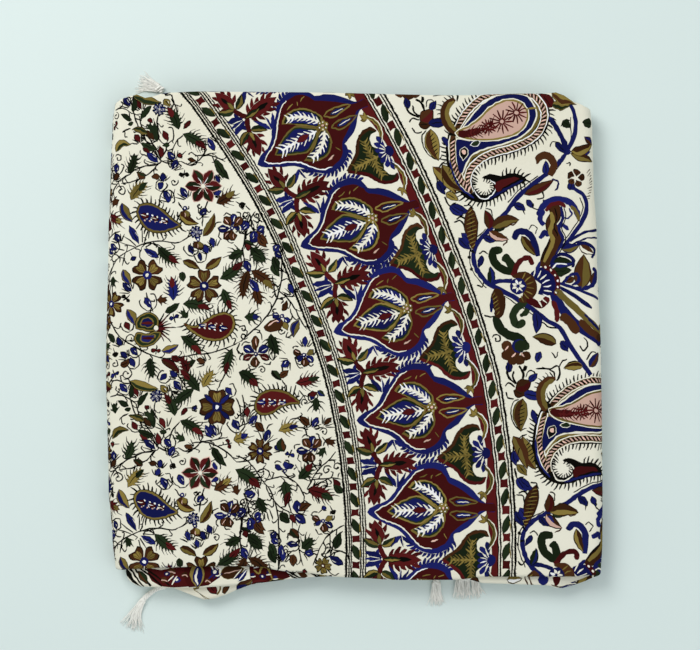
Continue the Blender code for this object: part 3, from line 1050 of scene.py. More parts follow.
def print_piece(name, ink, to_run=to_cloth, reach=TOP_REACH):
    """A piece of the print, laid over the folds a hair above the sheet."""
    triangles = np.concatenate([shape for shape, _, _ in ink])
    heights = [level + SHAPE_SPREAD * (k * GOLDEN % 1) for k, (_, _, level) in enumerate(ink)]
    tags = [np.tile([dye, height], (len(shape), 1)) for (shape, dye, _), height in zip(ink, heights)]
    triangles = to_run(triangles.reshape(-1, 2)).reshape(-1, 3, 2)
    triangles, tags = fitted(triangles, np.concatenate(tags), reach)
    order = np.argsort(tags[:, 1], kind="stable")
    triangles, tags = triangles[order], tags[order]

    corners = np.concatenate([triangles.reshape(-1, 2), np.repeat(tags, 3, axis=0)], 1)
    keys = np.round(corners * CORNER_PARTS).astype(np.int64)
    _, first, index = np.unique(keys, axis=0, return_index=True, return_inverse=True)
    p, q, _, height = corners[first].T
    normals = bilinear(OUTER_NORMALS, p, q)
    normals /= np.linalg.norm(normals, axis=1, keepdims=True)
    points = bilinear(OUTER, p, q) + normals * (LIFT + height * LEVEL_LIFT)[:, None]
    faces = index.reshape(-1, 3)
    distinct = (faces[:, 0] != faces[:, 1]) & (faces[:, 1] != faces[:, 2]) & (faces[:, 2] != faces[:, 0])
    faces, tags = faces[distinct], tags[distinct]
    made = mesh_object(name, points, faces.tolist(), DYE_MATERIALS, tags[:, 0])
    add_map(made, "cloth", np.stack([p, q], 1))
    made.data.normals_split_custom_set_from_vertices(normals)
    print(name, len(faces), "triangles")
    return made


# The ring that crosses the sheet: a band of medallions between two borders

RING_CENTRE = (-357.0, 550.0)
BAND_RADIUS = 725.0
MIDDLE_RADIUS = 785.0
MEDALLION_STEP = 7.27
HALF_STEP = MEDALLION_STEP / 2
MEDALLION_ANGLES = [32.0 - MEDALLION_STEP * k for k in range(-2, 7)]
BORDER_ANGLES = (-14.0, 52.0)
RING_STEPS = 220
TICK_PITCH = 3.2
# How far the lie of the cloth moves each border out from a true ring, at angles round it
INNER_STRAY = (
    (14, 0), (19, -2.0), (22, -2.7), (24, -1.9), (26, -0.5), (30, 0.4), (34, 0.8), (36.5, 1.3), (39, 2.8),
)
OUTER_STRAY = (
    (8, 0), (11.5, 0.8), (15, -1.7), (17, -3.0), (20.5, -4.8), (25.7, -3.9), (29.7, -2.9), (36, -0.8),
)
# How far out from the band's inner edge the one has ended, and the other has begun
INNER_STRAY_FADE = (-2, 10)
OUTER_STRAY_FADE = (110, 128)
# How much each medallion tips down towards its right end
TIPS = (0, 0, 0.015, 0.06, 0, 0, 0, 0, 0)
# How far out each of a border's fine lines is, and its width
INNER_LINES = ((-21.6, 2.2), (-18.7, 1.3), (-16.7, 1.2), (-7.0, 1.4), (-4.5, 1.4), (-2.0, 1.2))
OUTER_LINES = ((132.8, 1.5), (144.4, 1.5), (147.6, 2.1))
SQUARE = ((-3.9, -4.0), (0, -3.4), (3.9, -4.1), (3.3, 0), (3.9, 4.1), (0.3, 3.5), (-3.8, 4.0), (-3.4, 0))


def ring_spots(out, way):
    """The drawing's places for distances out from the band's inner edge and ways in radians."""
    angle = np.degrees(way)
    stray = np.interp(out, INNER_STRAY_FADE, (1, 0)) * np.interp(angle, *zip(*INNER_STRAY))
    stray = stray + np.interp(out, OUTER_STRAY_FADE, (0, 1)) * np.interp(angle, *zip(*OUTER_STRAY))
    radius = BAND_RADIUS + out + stray
    return np.stack([RING_CENTRE[0] + radius * np.cos(way), RING_CENTRE[1] - radius * np.sin(way)], 1)


def on_ring(points, angle, tip=0):
    """From places out and along the ring, with along 0 at an angle in degrees, to the drawing."""
    out, along = np.asarray(points, float).T
    return ring_spots(out, math.radians(angle) + (along - tip * out) / MIDDLE_RADIUS)


def ring_stroke(ink, out, width, dye, level, swell=0):
    """A line all along the ring, some way out from the band's inner edge, wider at each medallion."""
    way = np.radians(np.linspace(*BORDER_ANGLES, RING_STEPS))
    wave = swell * np.cos((np.degrees(way) - MEDALLION_ANGLES[0]) * math.pi / HALF_STEP)
    outer = np.full(RING_STEPS, out + width / 2)
    strip(ink, ring_spots(out - width / 2 - wave, way), ring_spots(outer, way), dye, level)


def ring_hatch(ink, out, width):
    """Small ticks along one of the border's fine lines."""
    start, end = BORDER_ANGLES
    count = int(math.radians(end - start) * BAND_RADIUS / TICK_PITCH)
    for k in range(count):
        angle = start + (end - start) * k / count
        tick = on_ring([(out - width * 0.9, -0.5), (out + width * 0.9, 0.5)], angle)
        stroke(ink, tick, 0.6, "black", 1, smooth_line=False)


def border(ink, lines, middle, first, step, slant):
    """Fine lines on both sides of a row of squares and slanting ovals."""
    for out, width in lines:
        ring_stroke(ink, out, width, "black", 1)
        ring_hatch(ink, out, width)
    angle = first
    while angle < BORDER_ANGLES[1]:
        wobble = 0.5 * math.sin(angle * 3.1)
        fill(ink, on_ring(np.array(SQUARE) + (middle + wobble * 0.4, wobble), angle), "burgundy", 2)
        low, high = on_ring([(middle - 3.0 * slant, 8.2), (middle + 3.0 * slant, -8.2)], angle + step / 2)
        leaf(ink, low, high, 6.4, "green", 2, edge="black", half_dye="green", fat=0.5)
        stroke(ink, on_ring([(middle + 3.6, 3), (middle + 4.4, -6)], angle + step / 2), 1.2, "ochre", 4)
        angle += step


# The medallion and its leaves, as places out and along the ring

MEDALLION_EDGE = (
    (0, 1), (7, 7.5), (14, 9.5), (21, 12.5), (27, 18), (31, 24), (38, 31), (45, 37.5), (51, 43), (58, 46),
    (68, 47), (77, 45), (83, 39), (85.5, 30), (94, 26.5), (103, 20.5), (111, 11.5), (119, 3.5), (127, 3),
    (127, -5), (119, -4), (113, -7), (107, -13), (100, -19), (92, -23), (86, -25), (86.5, -31), (82, -37),
    (74, -42), (64, -44), (54, -42), (46, -36), (38, -27), (31, -20), (22, -15), (14, -10.5), (6, -6),
)
MEDALLION_FIELD = (
    (8, 0.5), (14, 5), (22, 8.5), (30, 15), (38, 25), (45, 32), (52, 38.5), (60, 41), (70, 40.5), (77, 37),
    (81, 31), (84, 25), (93, 19.5), (101, 13), (109, 7), (117, 3), (128, 2.5), (128, -4.5), (117, -3.5),
    (110, -5.5), (103, -10.5), (96, -15), (88, -20), (83, -25), (80, -31), (73, -36.5), (64, -39),
    (54, -37), (46, -30), (38, -20), (30, -14), (20, -9.5), (12, -5),
)
BIG_LEAF = (
    ((20, 0.5), (29, 7.5), (40, 12.5), (50, 15), (58, 12), (71, 1)),
    ((20, 0.5), (28, -5), (38, -10), (48, -14), (56, -12.5), (71, -3)),
)
UPPER_LEAF = (
    ((43, 24), (48, 28.5), (55, 30), (63, 29), (70, 25), (76, 18), (80, 10), (78, 2)),
    ((43, 24), (51, 18.5), (60, 11), (69, 4), (74, 1), (78, 2)),
)
LOWER_LEAF = (
    ((43, -20), (54, -14.5), (64, -7), (72, -1.5), (78, -1)),
    ((43, -20), (51, -25.5), (59, -27.5), (67, -26), (73, -20.5), (77, -14), (78, -1)),
)
# The two ends of each small ochre streak beside the leaves
STREAKS = (((55, 33), (63, 35)), ((66, 31), (68, 34.5)), ((71, 33), (77, 35)), ((76, -24), (79, -29)))
# The root of each fan, then the tip and width of its petals, which point inwards
FANS = (
    ((31, 25), (((20.5, 43), 4.6), ((33, 41), 2.6), ((42, 40), 3.6))),
    ((34, -25), (((23, -37), 4.6), ((36, -37.5), 2.6), ((46, -35), 3.6))),
)
# One side of the three-lobed leaf between two medallions
LOBES = (
    (75, 0), (84, 6), (92, 12), (97, 19.5), (103, 25), (110, 27), (117, 26.5), (121, 22), (114, 21.5),
    (109.5, 17.5), (109, 11), (113, 6),
)
STALK = ((119, 10), (124.5, 17), (127, 25), (124.5, 33), (119, 38.5))
FAN_ROOT = (122.5, 0)


def mirrored(points, side):
    """Places out and along the ring, on one side of a motif's middle or on the other."""
    return [(out, along * side) for out, along in points]


def two_sided(sides, inward):
    """The outline between two curves that share both ends, drawn in towards its middle."""
    upper, lower = curve(sides[0]), curve(sides[1])
    outline = np.vstack([upper, lower[-2:0:-1]])
    middle = outline.mean(0)
    away = outline - middle
    far = np.linalg.norm(away, axis=1, keepdims=True)
    return middle + away * np.maximum(far - inward * (0.5 + 0.9 * far / far.max()), 0.1) / far


def jewel_leaf(ink, place, sides, spine, barb):
    """A leaf of the medallion: an ochre edge round dark green and blue, with a white feather."""
    for inward, dye, level in ((-0.3, "ochre", 3), (1.5, "green", 4), (3.2, "blue", 5)):
        fill(ink, place(two_sided(sides, inward)), dye, level)
    feather(ink, place(spine), barb, 4.2, "cream", 6, width=2.3, lean=-0.9)


def toothed_leaf(ink, ends, length, pitch, fat):
    """A burgundy leaf with a saw edge on both sides."""
    one, other = leaf(ink, *ends, 13.5, "burgundy", 2, edge=None, fat=fat)
    for line, side in ((one, 1), (other, -1)):
        teeth(ink, line[1:-1], length, pitch, "burgundy", 2, side=side, lean=0.9)


def medallion(ink, angle, tip):
    """One medallion of the band: a blue and burgundy ground with three jewel leaves on it."""

    def place(points):
        return on_ring(points, angle, tip)

    blob(ink, place(MEDALLION_EDGE), "blue", 1, steps=2)
    blob(ink, place(MEDALLION_FIELD), "burgundy", 2, steps=2)
    for part in (MEDALLION_EDGE[7:13], MEDALLION_EDGE[26:33]):
        teeth(ink, curve(place(part), 3), 5.6, 3.8, "blue", 1, side=-1)
    for part in (MEDALLION_FIELD[:8], (MEDALLION_FIELD[0],) + MEDALLION_FIELD[:-8:-1]):
        stroke(ink, place(part), 1.2, "cream", 3)
    jewel_leaf(ink, place, BIG_LEAF, [(28, 0.5), (40, 0.6), (52, 0.2), (68, -0.6)], 7.4)
    leaf(ink, *place([(46, 0.3), (60, 0.2)]), 6.2, "burgundy", 8, edge="blue", fat=0.5)
    jewel_leaf(ink, place, UPPER_LEAF, [(50, 25.5), (60, 21.5), (69, 14), (76, 5)], 5.4)
    jewel_leaf(ink, place, LOWER_LEAF, [(50, -22), (60, -19), (69, -12.5), (75.5, -4)], 5.4)
    for side, top, low in ((1, 10.5, 4.6), (-1, -2.6, -7.0)):
        bottom = top - 8.0 if side > 0 else top - 8.6
        loop = [(83, top - 2), (90, top), (100, top - 1.4), (111, low)]
        loop += [(100, bottom + 0.6), (90, bottom), (86, top - 5)]
        ring_line(ink, place(loop), 1.5, "ochre", 5, steps=3)
        ends = place([(88.5, (top + bottom) / 2), (105, low + 0.2)])
        leaf(ink, *ends, 4.6, "blue", 4, edge="green", vein="cream")
    eye = place([(76.5, 1)])[0]
    for k in range(6):
        bead = eye + turned([(3.8, 0)], 60 * k + angle)[0]
        dot(ink, bead, 2.2, "ochre", 8, sides=7)
        dot(ink, bead, 0.8, "cream", 9, sides=5)
    dot(ink, eye, 1.3, "pink", 9, sides=6)
    for ends in STREAKS:
        stroke(ink, place(ends), 1.2, "ochre", 4, smooth_line=False)
    leaf(ink, *place([(63, -32), (71, -29.5)]), 1.8, "pink", 5, edge="brown")
    for root, tips in FANS:
        for end, width in tips:
            leaf(ink, *place([root, end]), width, "blue", 2, edge=None, bend=1.0)
        stroke(ink, place([root, tips[1][0]]), 0.7, "cream", 4, smooth_line=False)


def spray(ink, angle, tip):
    """What fills the gaps between two medallions: leaves at the left and a three-lobed leaf at the right."""

    def place(points):
        return on_ring(points, angle, tip)

    toothed_leaf(ink, place([(15, 0), (54, -0.5)]), 6.2, 5.6, fat=0.5)
    leaf(ink, *place([(27, 0), (44, -0.3)]), 4.6, "black", 4, edge=None, fat=0.5)
    leaf(ink, *place([(16, 0), (33, -0.3)]), 5.0, "green", 5, edge="black", half_dye="ochre", fat=0.5)
    for side in (1, -1):
        stroke(ink, place(mirrored([(18, 0), (14, 7), (11, 15)], side)), 5.0, "burgundy", 2, thin=(1, 1))
        for ends, bend in ((((11, 14), (-4, 22)), -1.5), (((14, 14), (27, 23)), 1.5)):
            leaf(ink, *place(mirrored(ends, side)), 6.5, "green", 3, bend=bend * side, half_dye="ochre")
        leaf(ink, *place(mirrored([(12, 15), (11, 25)], side)), 3.4, "ochre", 5, edge="green")
        toothed_leaf(ink, place(mirrored([(12, 15), (7, 42)], side)), 5.6, 5.4, fat=0.42)
        leaf(ink, *place(mirrored([(11, 22), (8, 33)], side)), 3.4, "black", 3, edge=None, fat=0.45)
        leaf(ink, *place(mirrored([(14, 1.5), (-3, 8.5)], side)), 7.6, "blue", 3, edge=None, bend=-0.8 * side)
        leaf(ink, *place(mirrored([(9, 3), (10, 11)], side)), 4.0, "blue", 3, edge=None)
    stroke(ink, place([(13, 0), (-3, 0)]), 3.6, "blue", 3, thin=(1, 0.3))
    for side in (1, -1):
        stroke(ink, place(mirrored([(12, 0.8), (1, 2.7)], side)), 0.8, "cream", 5, smooth_line=False)

    edge = np.vstack([curve(LOBES, 3), curve(mirrored(LOBES[::-1], -1), 3)])
    fill(ink, place(edge), "green", 2)
    for side in (1, -1):
        rim = place(mirrored(LOBES[:8], side))
        stroke(ink, rim, 3.4, "burgundy" if side < 0 else "brown", 3, thin=(0.8, 0.4))
        spine = place(mirrored([(104, 2), (103, 10), (104.5, 19)], side))
        feather(ink, spine, 5.2, 3.5, "ochre", 5, width=2.1, lean=0.9)
    feather(ink, place([(109, 0), (97, 0), (83, 0)]), 6.2, 3.7, "ochre", 5, width=2.1, lean=0.9)
    for k in range(7):
        petal = turned([(4.0, 0), (13.0 + 1.5 * abs(k - 3), 0)], 102 + 26 * k) + FAN_ROOT
        leaf(ink, *place(petal), 4.0, "blue", 3, edge="blue", fat=0.7)
    dot(ink, place([(122, 0)])[0], 6.0, "blue", 3, sides=12)
    for k in range(6):
        gap = turned([(3.5, 0), (10.5, 0)], 115 + 26 * k) + FAN_ROOT
        stroke(ink, place(gap), 1.1, "cream", 6, smooth_line=False)
    for side in (1, -1):
        stroke(ink, place(mirrored(STALK, side)), 4.0, "ochre", 2, thin=(0.6, 0.8))
        for shift, width, dye in ((1.7, 0.9, "cream"), (-0.6, 0.8, "green")):
            line = [(out + shift, along) for out, along in mirrored(STALK, side)]
            stroke(ink, place(line), width, dye, 4)
        for end in ((112, 37), (114, 42.5), (120, 43)):
            leaf(ink, *place(mirrored([(118, 36), end], side)), 2.6, "ochre", 3, edge="brown")


def band():
    """The band of medallions, with its burgundy strip at the outer border."""
    ink = []
    ring_stroke(ink, 126.2, 9.0, "burgundy", 0, swell=2.6)
    ring_stroke(ink, 130.4, 1.1, "black", 1)
    for angle, tip in zip(MEDALLION_ANGLES, TIPS):
        medallion(ink, angle, tip)
        spray(ink, angle - HALF_STEP, max(tip / 2, 0.025 if tip else 0))
    return ink


def borders():
    """The two borders of squares and ovals."""
    ink = []
    border(ink, INNER_LINES, middle=-11.9, first=-13.9, step=2.11, slant=1)
    border(ink, OUTER_LINES, middle=138.6, first=-13.6, step=1.80, slant=-1)
    return ink


# The field inside the ring: small flowers, comb leaves and buds on thin vines, repeated down the sheet

FIELD_REPEAT = (-3.0, 287.0)
FIELD_RADIUS = BAND_RADIUS - 23.5
COMB_WIDTH = 0.84
COMB_LENGTH = 6.8
HOOK_PITCH = 9.5

# base, tip, width, dye, dye of the tip, bend
COMB_LEAVES = [
    ((183, 134), (206, 149), 9, "green", "burgundy", -2), ((178, 129), (167, 107), 9, "green", "burgundy", 2),
    ((128, 172), (134, 154), 8, "green", None, 2), ((131, 200), (147, 183), 9, "ochre", "green", -2),
    ((108, 215), (122, 222), 8, "burgundy", "ochre", 1), ((158, 247), (179, 263), 9, "green", "burgundy", 2),
    ((173, 300), (171, 277), 9, "blue", "burgundy", 1), ((183, 304), (210, 309), 9, "green", "burgundy", -2),
    ((223, 289), (232, 310), 8, "green", "burgundy", 1), ((220, 279), (243, 261), 10, "green", "burgundy", 2),
    ((243, 252), (230, 259), 9, "green", None, 1), ((252, 254), (265, 262), 9, "green", None, -1),
    ((181, 336), (201, 355), 9, "green", "burgundy", -2), ((150, 358), (153, 378), 8, "green", None, 1),
    ((199, 391), (180, 370), 9, "green", "burgundy", 1), ((203, 387), (213, 371), 8, "ochre", None, -1),
    ((193, 390), (174, 404), 9, "green", None, 1), ((153, 421), (144, 412), 6, "green", None, 1),
    ((232, 349), (225, 374), 8, "green", "burgundy", 1),
    ((249, 270), (243, 299), 9, "brown", None, 2), ((251, 271), (273, 290), 9, "brown", "ochre", -3),
    ((256, 289), (261, 304), 9, "brown", None, 1), ((245, 317), (259, 317), 8, "green", "blue", 0),
    ((271, 334), (279, 354), 10, "green", None, 2), ((296, 383), (319, 377), 8, "burgundy", "green", 1),
    ((239, 372), (258, 387), 11, "green", "burgundy", -2), ((316, 398), (316, 411), 7, "green", None, 0),
    ((279, 431), (298, 426), 8, "ochre", "blue", -1), ((299, 479), (312, 463), 10, "green", "burgundy", 1),
    ((236, 470), (260, 488), 12, "green", "burgundy", -2), ((285, 482), (287, 498), 10, "green", None, 0),
    ((308, 490), (333, 500), 11, "burgundy", "green", -2), ((258, 498), (266, 512), 9, "green", None, 1),
    ((248, 535), (262, 544), 10, "green", None, 1), ((302, 548), (312, 538), 10, "green", None, 1),
    ((234, 440), (247, 434), 9, "ochre", "blue", 1), ((214, 490), (231, 478), 9, "brown", "ochre", 1),
    ((188, 373), (180, 357), 7, "burgundy", None, 1),
]

# base, tip, width, dye, dye of one half, bend
LEAVES = [
    ((133, 111), (134, 97), 5, "green", None, 1), ((141, 119), (151, 106), 5, "green", None, -1),
    ((131, 119), (121, 114), 5, "green", None, 0), ((133, 122), (128, 123), 3, "green", None, 0),
    ((147, 134), (132, 129), 6, "ochre", "green", 1), ((157, 141), (155, 122), 5, "green", None, -1),
    ((156, 149), (141, 143), 6, "green", None, -1), ((169, 145), (163, 145), 4, "green", None, 0),
    ((162, 157), (160, 146), 5, "burgundy", None, 0), ((148, 119), (152, 122), 4, "burgundy", None, 0),
    ((115, 152), (131, 144), 7, "ochre", "green", -5), ((159, 177), (152, 176), 5, "brown", None, 0),
    ((145, 178), (137, 173), 6, "brown", "green", 0), ((216, 162), (229, 179), 7, "green", None, 1),
    ((122, 203), (132, 221), 9, "ochre", "blue", 2), ((180, 213), (198, 223), 8, "brown", "ochre", 3),
    ((203, 236), (214, 214), 8, "ochre", "brown", 2), ((123, 270), (131, 284), 8, "ochre", "blue", 1),
    ((182, 272), (183, 281), 6, "green", None, 0), ((165, 312), (179, 303), 6, "green", None, 1),
    ((206, 268), (221, 257), 8, "brown", "ochre", 1), ((183, 261), (199, 269), 7, "brown", "ochre", -1),
    ((127, 310), (135, 325), 9, "ochre", "blue", -1), ((229, 258), (239, 254), 5, "green", None, 0),
    ((162, 351), (178, 345), 7, "ochre", "blue", 1), ((172, 356), (181, 360), 6, "burgundy", None, 1),
    ((161, 360), (179, 373), 7, "burgundy", "brown", -2), ((181, 367), (195, 360), 6, "green", None, 1),
    ((130, 381), (158, 389), 9, "ochre", "green", 2),
    ((273, 263), (279, 276), 7, "green", None, 1),
    ((258, 233), (267, 247), 7, "brown", None, 2), ((283, 311), (287, 301), 5, "brown", None, 0),
    ((299, 321), (294, 337), 8, "ochre", "blue", 2), ((284, 322), (287, 330), 5, "ochre", None, 0),
    ((272, 371), (281, 380), 6, "green", "black", 0), ((280, 377), (288, 371), 6, "brown", None, 0),
    ((318, 391), (324, 396), 5, "green", "blue", 0), ((309, 395), (317, 393), 5, "burgundy", None, 0),
    ((257, 422), (264, 431), 7, "brown", None, 1), ((309, 425), (300, 417), 7, "brown", None, 0),
    ((319, 431), (336, 422), 9, "ochre", "brown", 2), ((284, 451), (282, 439), 9, "green", "brown", -2),
    ((342, 493), (334, 485), 7, "green", None, 0), ((340, 487), (333, 479), 5, "burgundy", None, 0),
    ((289, 492), (285, 506), 6, "burgundy", None, 0), ((241, 528), (251, 532), 4, "green", "black", 0),
    ((255, 518), (265, 530), 7, "brown", None, 2), ((280, 513), (289, 523), 8, "green", None, 0),
    ((291, 515), (295, 523), 5, "burgundy", None, 0), ((291, 529), (299, 537), 8, "brown", "green", 1),
    ((270, 544), (276, 557), 7, "green", None, 0), ((335, 549), (340, 533), 8, "green", None, 0),
    ((300, 511), (311, 505), 7, "brown", None, -2), ((113, 343), (104, 335), 6, "green", None, 2),
    ((190, 121), (184, 128), 4, "burgundy", None, 0), ((293, 555), (293, 566), 7, "brown", None, 0),
    ((212, 447), (220, 465), 7, "green", None, -1), ((120, 365), (128, 359), 6, "brown", None, 2),
]

# base, tip, width, dye
BUDS = [
    ((130, 105), (123, 97), 6, "blue"), ((141, 110), (137, 101), 4, "burgundy"),
    ((168, 141), (163, 131), 5, "burgundy"), ((154, 140), (147, 131), 5, "brown"),
    ((140, 143), (135, 135), 5, "burgundy"), ((150, 153), (143, 148), 4, "burgundy"),
    ((158, 162), (147, 153), 6, "blue"), ((174, 160), (168, 152), 6, "blue"),
    ((172, 169), (177, 160), 6, "blue"), ((219, 149), (213, 138), 6, "blue"),
    ((184, 103), (177, 94), 6, "blue"), ((196, 161), (188, 159), 4, "brown"),
    ((170, 200), (164, 191), 6, "blue"), ((187, 198), (181, 188), 6, "blue"),
    ((200, 215), (206, 209), 6, "blue"), ((163, 181), (163, 173), 5, "blue"),
    ((159, 189), (162, 182), 5, "blue"), ((216, 175), (219, 183), 4, "blue"),
    ((214, 195), (221, 191), 4, "blue"), ((214, 247), (211, 238), 5, "blue"),
    ((193, 254), (189, 245), 5, "blue"), ((208, 253), (204, 245), 5, "blue"),
    ((201, 261), (199, 253), 4, "blue"), ((139, 244), (129, 226), 6, "blue"),
    ((144, 249), (158, 257), 6, "blue"), ((115, 173), (116, 164), 6, "blue"),
    ((113, 180), (118, 173), 5, "brown"), ((131, 291), (123, 283), 6, "blue"),
    ((151, 308), (145, 298), 6, "blue"), ((129, 330), (125, 322), 5, "burgundy"),
    ((121, 346), (117, 338), 5, "blue"), ((137, 355), (131, 348), 6, "blue"),
    ((127, 358), (121, 352), 5, "blue"), ((134, 367), (130, 358), 5, "blue"),
    ((205, 363), (197, 359), 5, "brown"), ((160, 380), (166, 374), 5, "blue"),
    ((177, 377), (170, 371), 5, "blue"), ((205, 425), (211, 437), 6, "blue"),
    ((167, 393), (161, 386), 6, "ochre"), ((232, 395), (226, 388), 5, "blue"),
    ((239, 430), (233, 420), 7, "blue"), ((249, 424), (257, 416), 6, "blue"),
    ((250, 272), (245, 261), 7, "blue"), ((241, 230), (249, 223), 6, "blue"),
    ((247, 243), (249, 250), 5, "burgundy"), ((250, 210), (258, 206), 6, "blue"),
    ((257, 235), (251, 242), 8, "blue"), ((258, 234), (264, 232), 6, "blue"),
    ((281, 257), (275, 252), 6, "blue"), ((286, 275), (286, 264), 5, "blue"),
    ((293, 294), (289, 284), 5, "blue"), ((250, 279), (258, 292), 7, "blue"),
    ((305, 347), (305, 337), 5, "blue"), ((289, 361), (282, 367), 6, "blue"),
    ((298, 362), (302, 356), 4, "blue"), ((247, 417), (247, 407), 5, "burgundy"),
    ((265, 441), (269, 430), 6, "blue"), ((311, 400), (313, 394), 5, "blue"),
    ((312, 427), (318, 418), 6, "blue"), ((281, 450), (275, 446), 5, "blue"),
    ((244, 493), (254, 493), 5, "blue"), ((237, 513), (244, 509), 6, "blue"),
    ((254, 517), (261, 514), 6, "blue"), ((251, 518), (251, 526), 8, "blue"),
    ((297, 513), (297, 501), 8, "blue"), ((295, 514), (305, 523), 8, "blue"),
    ((276, 532), (271, 538), 6, "blue"), ((281, 558), (281, 545), 6, "blue"),
    ((298, 545), (287, 544), 6, "blue"), ((305, 552), (313, 554), 7, "blue"),
    ((329, 556), (343, 565), 7, "blue"), ((165, 479), (165, 489), 5, "blue"),
    ((116, 250), (109, 244), 6, "blue"), ((119, 242), (115, 234), 6, "blue"),
    ((112, 254), (106, 249), 6, "blue"), ((236, 228), (239, 228), 4, "blue"),
    ((324, 425), (331, 418), 4, "brown"),
]

FIELD_VINES = [
    [(160, 158), (160, 163), (145, 166), (130, 173), (120, 180), (112, 190), (108, 202), (104, 215)],
    [(158, 163), (152, 171), (145, 176), (135, 181), (121, 183)],
    [(112, 110), (120, 108), (128, 110), (139, 117)],
    [(139, 117), (142, 128), (150, 140), (157, 150), (160, 158)],
    [(133, 111), (136, 122), (140, 131), (147, 142)],
    [(147, 142), (153, 150), (160, 158), (166, 150), (167, 140)], [(131, 127), (126, 129), (122, 133)],
    [(181, 161), (190, 165), (199, 160), (205, 155), (222, 152), (231, 150)],
    [(160, 160), (170, 164), (181, 161)], [(195, 156), (206, 155), (215, 157), (230, 165), (240, 176)],
    [(183, 135), (176, 142), (172, 152), (168, 162)],
    [(104, 290), (110, 270), (120, 256), (141, 245), (158, 241), (175, 243), (182, 241)],
    [(125, 252), (122, 266)], [(182, 241), (190, 236), (196, 232)], [(158, 247), (150, 243), (141, 245)],
    [(104, 240), (112, 234), (120, 231)],
    [(109, 321), (120, 337), (140, 350), (160, 358), (181, 357), (199, 354), (212, 353), (231, 346),
     (241, 341)],
    [(241, 341), (250, 333), (262, 322), (270, 311), (276, 300), (280, 288), (283, 272), (284, 258)],
    [(278, 290), (286, 297), (294, 307), (300, 319), (307, 330)], [(272, 293), (278, 289)],
    [(285, 297), (296, 296)], [(244, 262), (243, 250), (245, 238), (247, 228), (250, 220), (254, 212)],
    [(251, 220), (252, 228), (257, 233)], [(253, 220), (258, 222), (260, 217)], [(246, 206), (250, 210)],
    [(251, 247), (254, 248), (257, 245)], [(240, 343), (237, 350), (239, 354)],
    [(272, 276), (276, 296), (283, 300), (281, 304)], [(290, 309), (292, 318), (287, 320)],
    [(272, 310), (276, 315)], [(288, 332), (286, 337), (291, 338)], [(269, 355), (272, 360), (277, 356)],
    [(258, 386), (260, 394)], [(296, 385), (293, 396)], [(299, 390), (306, 399)], [(282, 366), (283, 374)],
    [(282, 380), (285, 386), (281, 389)], [(242, 395), (244, 404), (243, 420)],
    [(235, 429), (243, 425), (250, 422)], [(236, 398), (240, 408), (241, 422)],
    [(290, 420), (297, 418), (302, 422)], [(297, 427), (305, 429), (307, 437)], [(336, 423), (330, 422)],
    [(254, 431), (259, 431), (262, 428)], [(267, 430), (268, 426), (273, 424)],
    [(236, 456), (246, 460), (254, 468), (262, 480), (270, 490), (275, 502)],
    [(275, 502), (278, 518), (279, 540), (278, 566)], [(236, 462), (247, 461), (254, 458)],
    [(254, 479), (264, 477)],
    [(264, 481), (274, 478), (284, 477), (294, 481), (300, 488), (304, 497), (303, 508)],
    [(258, 489), (258, 498)], [(266, 486), (270, 496), (280, 507), (292, 514)],
    [(282, 471), (288, 477), (293, 482)], [(310, 459), (318, 471)],
    [(307, 489), (313, 478), (320, 468), (328, 461), (336, 452)],
    [(307, 490), (320, 483), (332, 478), (345, 480)], [(328, 460), (340, 460)], [(320, 459), (319, 468)],
    [(308, 492), (316, 497), (320, 504)], [(310, 480), (330, 478)], [(325, 480), (328, 484), (323, 487)],
    [(340, 470), (338, 478)], [(256, 473), (262, 469), (268, 471), (271, 477)],
    [(344, 525), (334, 531), (326, 538), (320, 548), (316, 558), (313, 566)], [(330, 533), (330, 554)],
    [(322, 556), (326, 549), (330, 548)], [(346, 551), (336, 552), (330, 556), (322, 561)],
    [(343, 531), (338, 536)], [(247, 501), (243, 512), (241, 528), (240, 542), (243, 550)],
    [(300, 524), (298, 535), (299, 550), (303, 566)], [(278, 534), (281, 540)], [(247, 503), (250, 512)],
    [(291, 533), (288, 534), (288, 540)], [(274, 557), (279, 558)], [(260, 509), (257, 508), (253, 510)],
    [(264, 513), (265, 520)], [(267, 512), (269, 521)], [(270, 511), (273, 520)], [(314, 516), (310, 515)],
    [(345, 566), (350, 571)], [(313, 553), (317, 556), (314, 561)], [(330, 556), (333, 545)],
    [(103, 165), (110, 172), (113, 182)], [(124, 250), (118, 249), (114, 246)], [(201, 351), (205, 345)],
    [(208, 200), (205, 208), (203, 217), (202, 226)], [(178, 202), (182, 208), (186, 214)],
    [(147, 204), (146, 199)], [(146, 292), (148, 300), (153, 312)], [(203, 303), (205, 308), (213, 312)],
    [(230, 365), (222, 380), (218, 389)], [(176, 372), (181, 380), (186, 386)],
    [(168, 385), (174, 398), (171, 410)], [(206, 385), (212, 392), (215, 399)],
    [(137, 380), (127, 384), (117, 380), (108, 382)], [(155, 402), (154, 412), (158, 420)],
    [(118, 183), (122, 190)],
]
# centre, radius, first angle, turns
FIELD_CURLS = [
    ((121, 191), 6, 200, 1.1), ((114, 259), 6, 30, -1.0), ((131, 339), 6, 120, 1.0),
    ((126, 374), 6, 300, 1.1), ((243, 329), 4, 200, 1.0), ((244, 336), 4, 20, 1.0),
    ((327, 470), 5, 330, -1.0), ((337, 467), 5, 10, -0.9), ((243, 502), 4, 60, 1.0),
    ((254, 502), 4, 240, -1.0), ((333, 409), 4, 150, 1.0), ((306, 427), 3, 40, 0.8),
    ((164, 211), 3, 60, 0.8), ((199, 206), 3, 0, 0.8), ((228, 331), 4, 90, 0.9), ((281, 331), 4, 0, 0.9),
    ((317, 428), 3, 200, 0.8), ((305, 402), 4, 120, 0.9), ((290, 553), 4, 20, 0.8),
]

